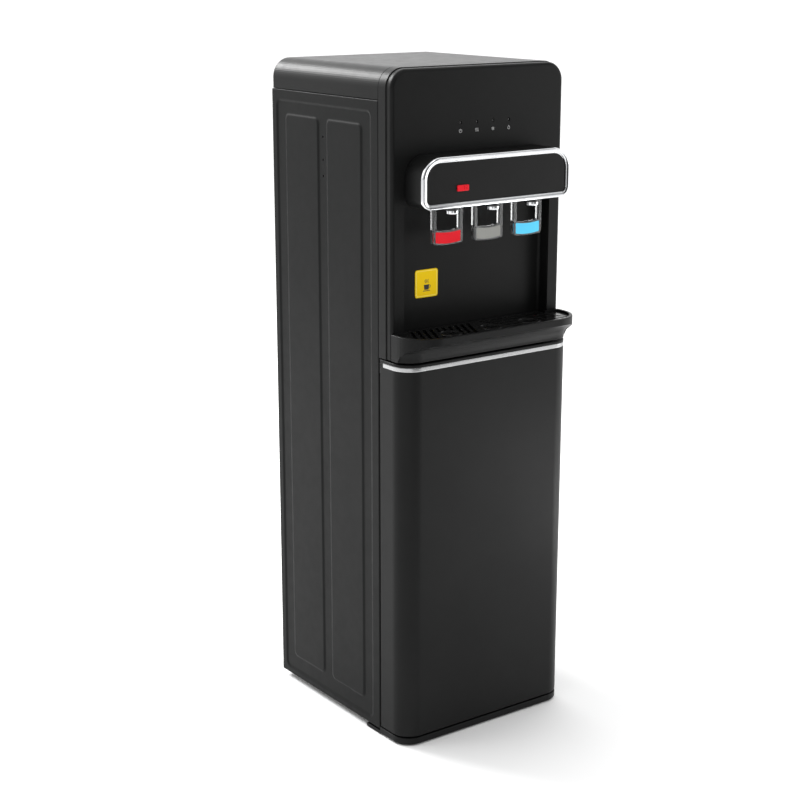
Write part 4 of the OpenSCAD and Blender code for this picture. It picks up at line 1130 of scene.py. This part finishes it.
def cove_rings(z0, rim_z, steps):
    """Rings of a cove that grows from nothing at the sides, with the plan outline of its top."""
    low_y, high_y = door_low.y, tray_low.y
    rise, depth = rim_z - z0, low_y - high_y
    low = plan_round(half_w, tray_back, low_y, door_r, steps=steps)
    high = plan_round(half_w, tray_back, high_y, tray_r, steps=steps)
    normals = [(-1, 0)] + arc(0, 0, 1, 180, 90, steps) + arc(0, 0, 1, 270, 90, steps) + [(1, 0)]

    def ring(t):
        points = []
        for (bx, by), (tx, ty), (nx, ny) in zip(low, high, normals):
            reach = max((tx - bx) * nx + (ty - by) * ny, 0)
            a = math.acos(max(1 - reach / depth, 0)) * t
            share = (1 - math.cos(a)) * depth / reach if reach > 0.01 * MM else t
            points.append((bx + (tx - bx) * share, by + (ty - by) * share, z0 + rise * math.sin(a)))
        return points

    return [ring(k / 12) for k in range(13)], high


def tray_shell(z0, z1, steps):
    """Cove under a rim band with soft edges."""
    rings, high = cove_rings(z0, z1 - 10.5 * MM, steps)
    lip = [max(z0 + 0.4 * MM, p[2]) for p in rings[-1]]
    soft = 1.3 * MM

    def band(inset, z, share):
        outline = plan_round(half_w, tray_back, tray_low.y, tray_r, inset, steps)
        return [(x, y, h + (z - h) * share) for (x, y), h in zip(outline, lip)]

    rings.append([(x, y, h + 0.9 * MM) for (x, y), h in zip(high, lip)])
    rings += [band(0, z1 - soft, 0.5), band(0, z1 - soft, 1)]
    rings += [band(i, z1 - d, 1) for i, d in quarter(soft)[1:]]
    return Shape().loft(rings)


def front_part(hw, y_rear, y_front, r, z_low, z_high, steps):
    """Block with round front corners, kept in front of y_rear."""
    outline = plan_round(hw, y_rear, y_front, r, steps=steps)
    kept = [p for p in outline[1:-1] if p[1] < y_rear - 0.5 * MM]
    return Shape().prism([outline[0]] + kept + [outline[-1]], plan, z_low, z_high)


def tongue_block(inset, y_front, z_low, z_high):
    """Block inside the tray's tongue, which reaches back into the recess."""
    return Shape().block((-tongue_hw + inset, y_front, z_low),
                         (tongue_hw - inset, tongue_back - inset, z_high))


def drip_tray():
    z0, z1 = tray_low.z, tray_high.z
    steps = 14
    ledge, ground = grille_low.z - 0.3 * MM, z0 + 6.4 * MM
    above = z1 + 5 * MM
    seat = front_part(half_w - 5 * MM, tray_back - 3 * MM, tray_low.y + 5 * MM, tray_r - 5 * MM,
                      ledge, above, steps)
    seat_tongue = tongue_block(3 * MM, tray_back - 10 * MM, ledge + 0.001 * MM, above + MM)
    basin = front_part(half_w - 9 * MM, tray_back - 3.2 * MM, door_low.y + 4 * MM, door_r - 4 * MM,
                       ground, above + 2 * MM, steps)
    basin_tongue = tongue_block(6 * MM, tray_back - 10 * MM, ground + 0.1 * MM, above + 3 * MM)
    piece("tray_shell", tray_shell(z0, z1, steps), "tray", "charcoal_plastic", ["drip_tray"],
          join=tongue_block(0, tray_back - 2 * MM, z0 + 3 * MM, z1 - 4 * MM),
          cut=merge(seat, seat_tongue, basin, basin_tongue), edge=0.5 * MM, angle=48)


def grille_outline():
    """Plan outline: a round-cornered front and a tongue that reaches back into the recess."""
    side, inset = 5.6 * MM, 3.6 * MM
    rear = tray_back - inset
    rounded = plan_round(half_w - side, rear, tray_low.y + side, tray_r - side)
    hw, back = tongue_hw - inset, tongue_back - inset
    return [(x, min(y, rear)) for x, y in rounded] + [(hw, rear), (hw, back), (-hw, back), (-hw, rear)]


def slanted_slots(z0, z1):
    """Two groups of slots that fan out to the sides."""
    pitch, width, length = 12 * MM, 5.6 * MM, 68 * MM
    tilt = math.radians(25)
    slots = Shape()
    for side in (-1, 1):
        for k in range(10):
            x = side * (pitch + pitch * k)
            slots.prism(stadium(x, tongue_back - 8 * MM, side * tilt, length, width), plan, z0, z1)
    return slots


def drip_grille():
    """Slotted plate with a round pad, short slots and a raised rim under each spout."""
    z0, z1 = grille_low.z, grille_low.z + 4 * MM
    below, above = z0 - MM, z1 + MM
    pads, holes, rims = Shape(), Shape(), Shape()
    rim_section = scaled([(15.4, -0.3), (15.5, 0.7), (16, 1.0), (17, 1.0), (17.6, 0.7), (17.8, -0.3)])
    for x in lever_places():
        pads.prism(circle(x, spout_y, 19 * MM, 40), plan, z0, z1)
        for k in (-1, 0, 1):
            start, length = spout_y + (10 - 2 * abs(k)) * MM, (20 - 4 * abs(k)) * MM
            holes.prism(stadium(x + 8 * MM * k, start, 0, length, 4.4 * MM), plan, below, above)
        rims.loft([[plan(p, z1 + h) for p in circle(x, spout_y, r, 48)] for r, h in rim_section],
                  looped=True)
    grille = raw_object("grille_plate", Shape().prism(grille_outline(), plan, z0, z1))
    combine(grille, slanted_slots(below, above), "DIFFERENCE")
    combine(grille, pads, "UNION")
    combine(grille, holes, "DIFFERENCE")
    finish(grille, "grille", "grille_gloss", ["drip_grille"], edge=0.8 * MM, angle=50, segments=3,
           slot="black_plate")
    piece("grille_rims", rims, "grille", "grille_gloss", slot="black_plate")


drip_tray()
drip_grille()


# ---------- door and plinth ----------

def door():
    """Hollow skin with a groove for the strip and holes for the hinge pins."""
    z0, z1 = door_low.z, door_high.z
    y0, y1 = door_low.y, door_high.y
    groove0, groove1 = strip_low.z - 0.1 * MM, strip_high.z + 0.1 * MM
    deep, soft, skin = 0.9 * MM, 0.3 * MM, 2 * MM

    def ring(inset, z):
        return [plan(p, z) for p in plan_round(half_w, y1, y0, door_r, inset)]

    rings = [ring(i, z0 + d) for i, d in reversed(quarter(2.4 * MM))]
    rings += [ring(0, z0 + (groove0 - z0) * k / 6) for k in range(1, 6)]
    rings += [ring(0, groove0 - soft), ring(soft, groove0), ring(deep, groove0 + 0.02 * MM),
              ring(deep, groove1 - 0.02 * MM), ring(soft, groove1), ring(0, groove1 + soft),
              ring(0, z1 - 1.2 * MM)]
    rings += [ring(i, z1 - d) for i, d in quarter(1.2 * MM)[1:]]
    hollow = Shape().prism(plan_round(half_w, y1 + 5 * MM, y0, door_r, skin), plan, z0 + skin, z1 - skin)
    pins = Shape()
    hinge = pivot_of("door_swing")
    for z in (z0 - MM, z1 - skin - 0.5 * MM):
        pins.prism(circle(hinge.x, hinge.y, 3.5 * MM), plan, z, z + 4 * MM)
    obj = raw_object("door_shell", Shape().loft(rings))
    combine(obj, hollow, "DIFFERENCE")
    combine(obj, pins, "DIFFERENCE")
    finish(obj, "door", "charcoal_plastic", ["door_skin"], edge=0.25 * MM, angle=60)


def door_strip():
    """Thin crowned band let into the door's groove."""
    z0, z1 = strip_low.z, strip_high.z
    y0, y1 = strip_low.y, strip_high.y
    half = scaled([(0.85, 0), (0.25, 0.05), (0.05, 0.35), (0, 1.2)])
    section = [(i, z0 + h) for i, h in half] + [(i, z1 - h) for i, h in reversed(half)]
    route = [plan_round(half_w, y1, y0, door_r, i, 24) for i, _ in section]
    stations = [[plan(line[k], z) for line, (_, z) in zip(route, section)] for k in range(len(route[0]))]
    piece("door_band", Shape().loft(stations), "door", "silver_strip", ["door_strip"])


def plinth():
    z0, z1 = plinth_low.z, plinth_high.z
    y0, y1 = plinth_low.y, y_seam - 0.2 * MM

    def ring(inset, z):
        return [plan(p, z) for p in plan_round(half_w, y1, y0, door_r, inset)]

    rings = [ring(i, z0 + d) for i, d in reversed(quarter(3.2 * MM, 5))]
    rings += [ring(0, z1 - 1.2 * MM)] + [ring(i, z1 - d) for i, d in quarter(1.2 * MM, 3)[1:]]
    skirt = Shape().block((-half_w, y1 - MM, z0), (half_w, plinth_high.y, z0 + 5.3 * MM))
    hollow = Shape().prism(plan_round(half_w, y1 + 0.2 * MM, y0, door_r, wall), plan, z0 - MM, z1 - wall)
    under = Shape().block((-half_w + wall, y1 - 3 * MM, z0 - 1.1 * MM),
                          (half_w - wall, plinth_high.y - wall, z0 + 2.8 * MM))
    piece("plinth_shell", Shape().loft(rings), "cabinet", "charcoal_plastic", ["front_plinth"],
          join=skirt, cut=merge(hollow, under), edge=0.4 * MM, angle=50)


door()
door_strip()
plinth()


# ---------- CAD nodes that show as they are ----------

for part in frame["record"]["subparts"]:
    node_object = frame["nodes"][part["node"]]
    if not node_object.hide_render:
        node_object.data.materials.clear()
        node_object.data.materials.append(MATERIALS[part["material_slot"]])
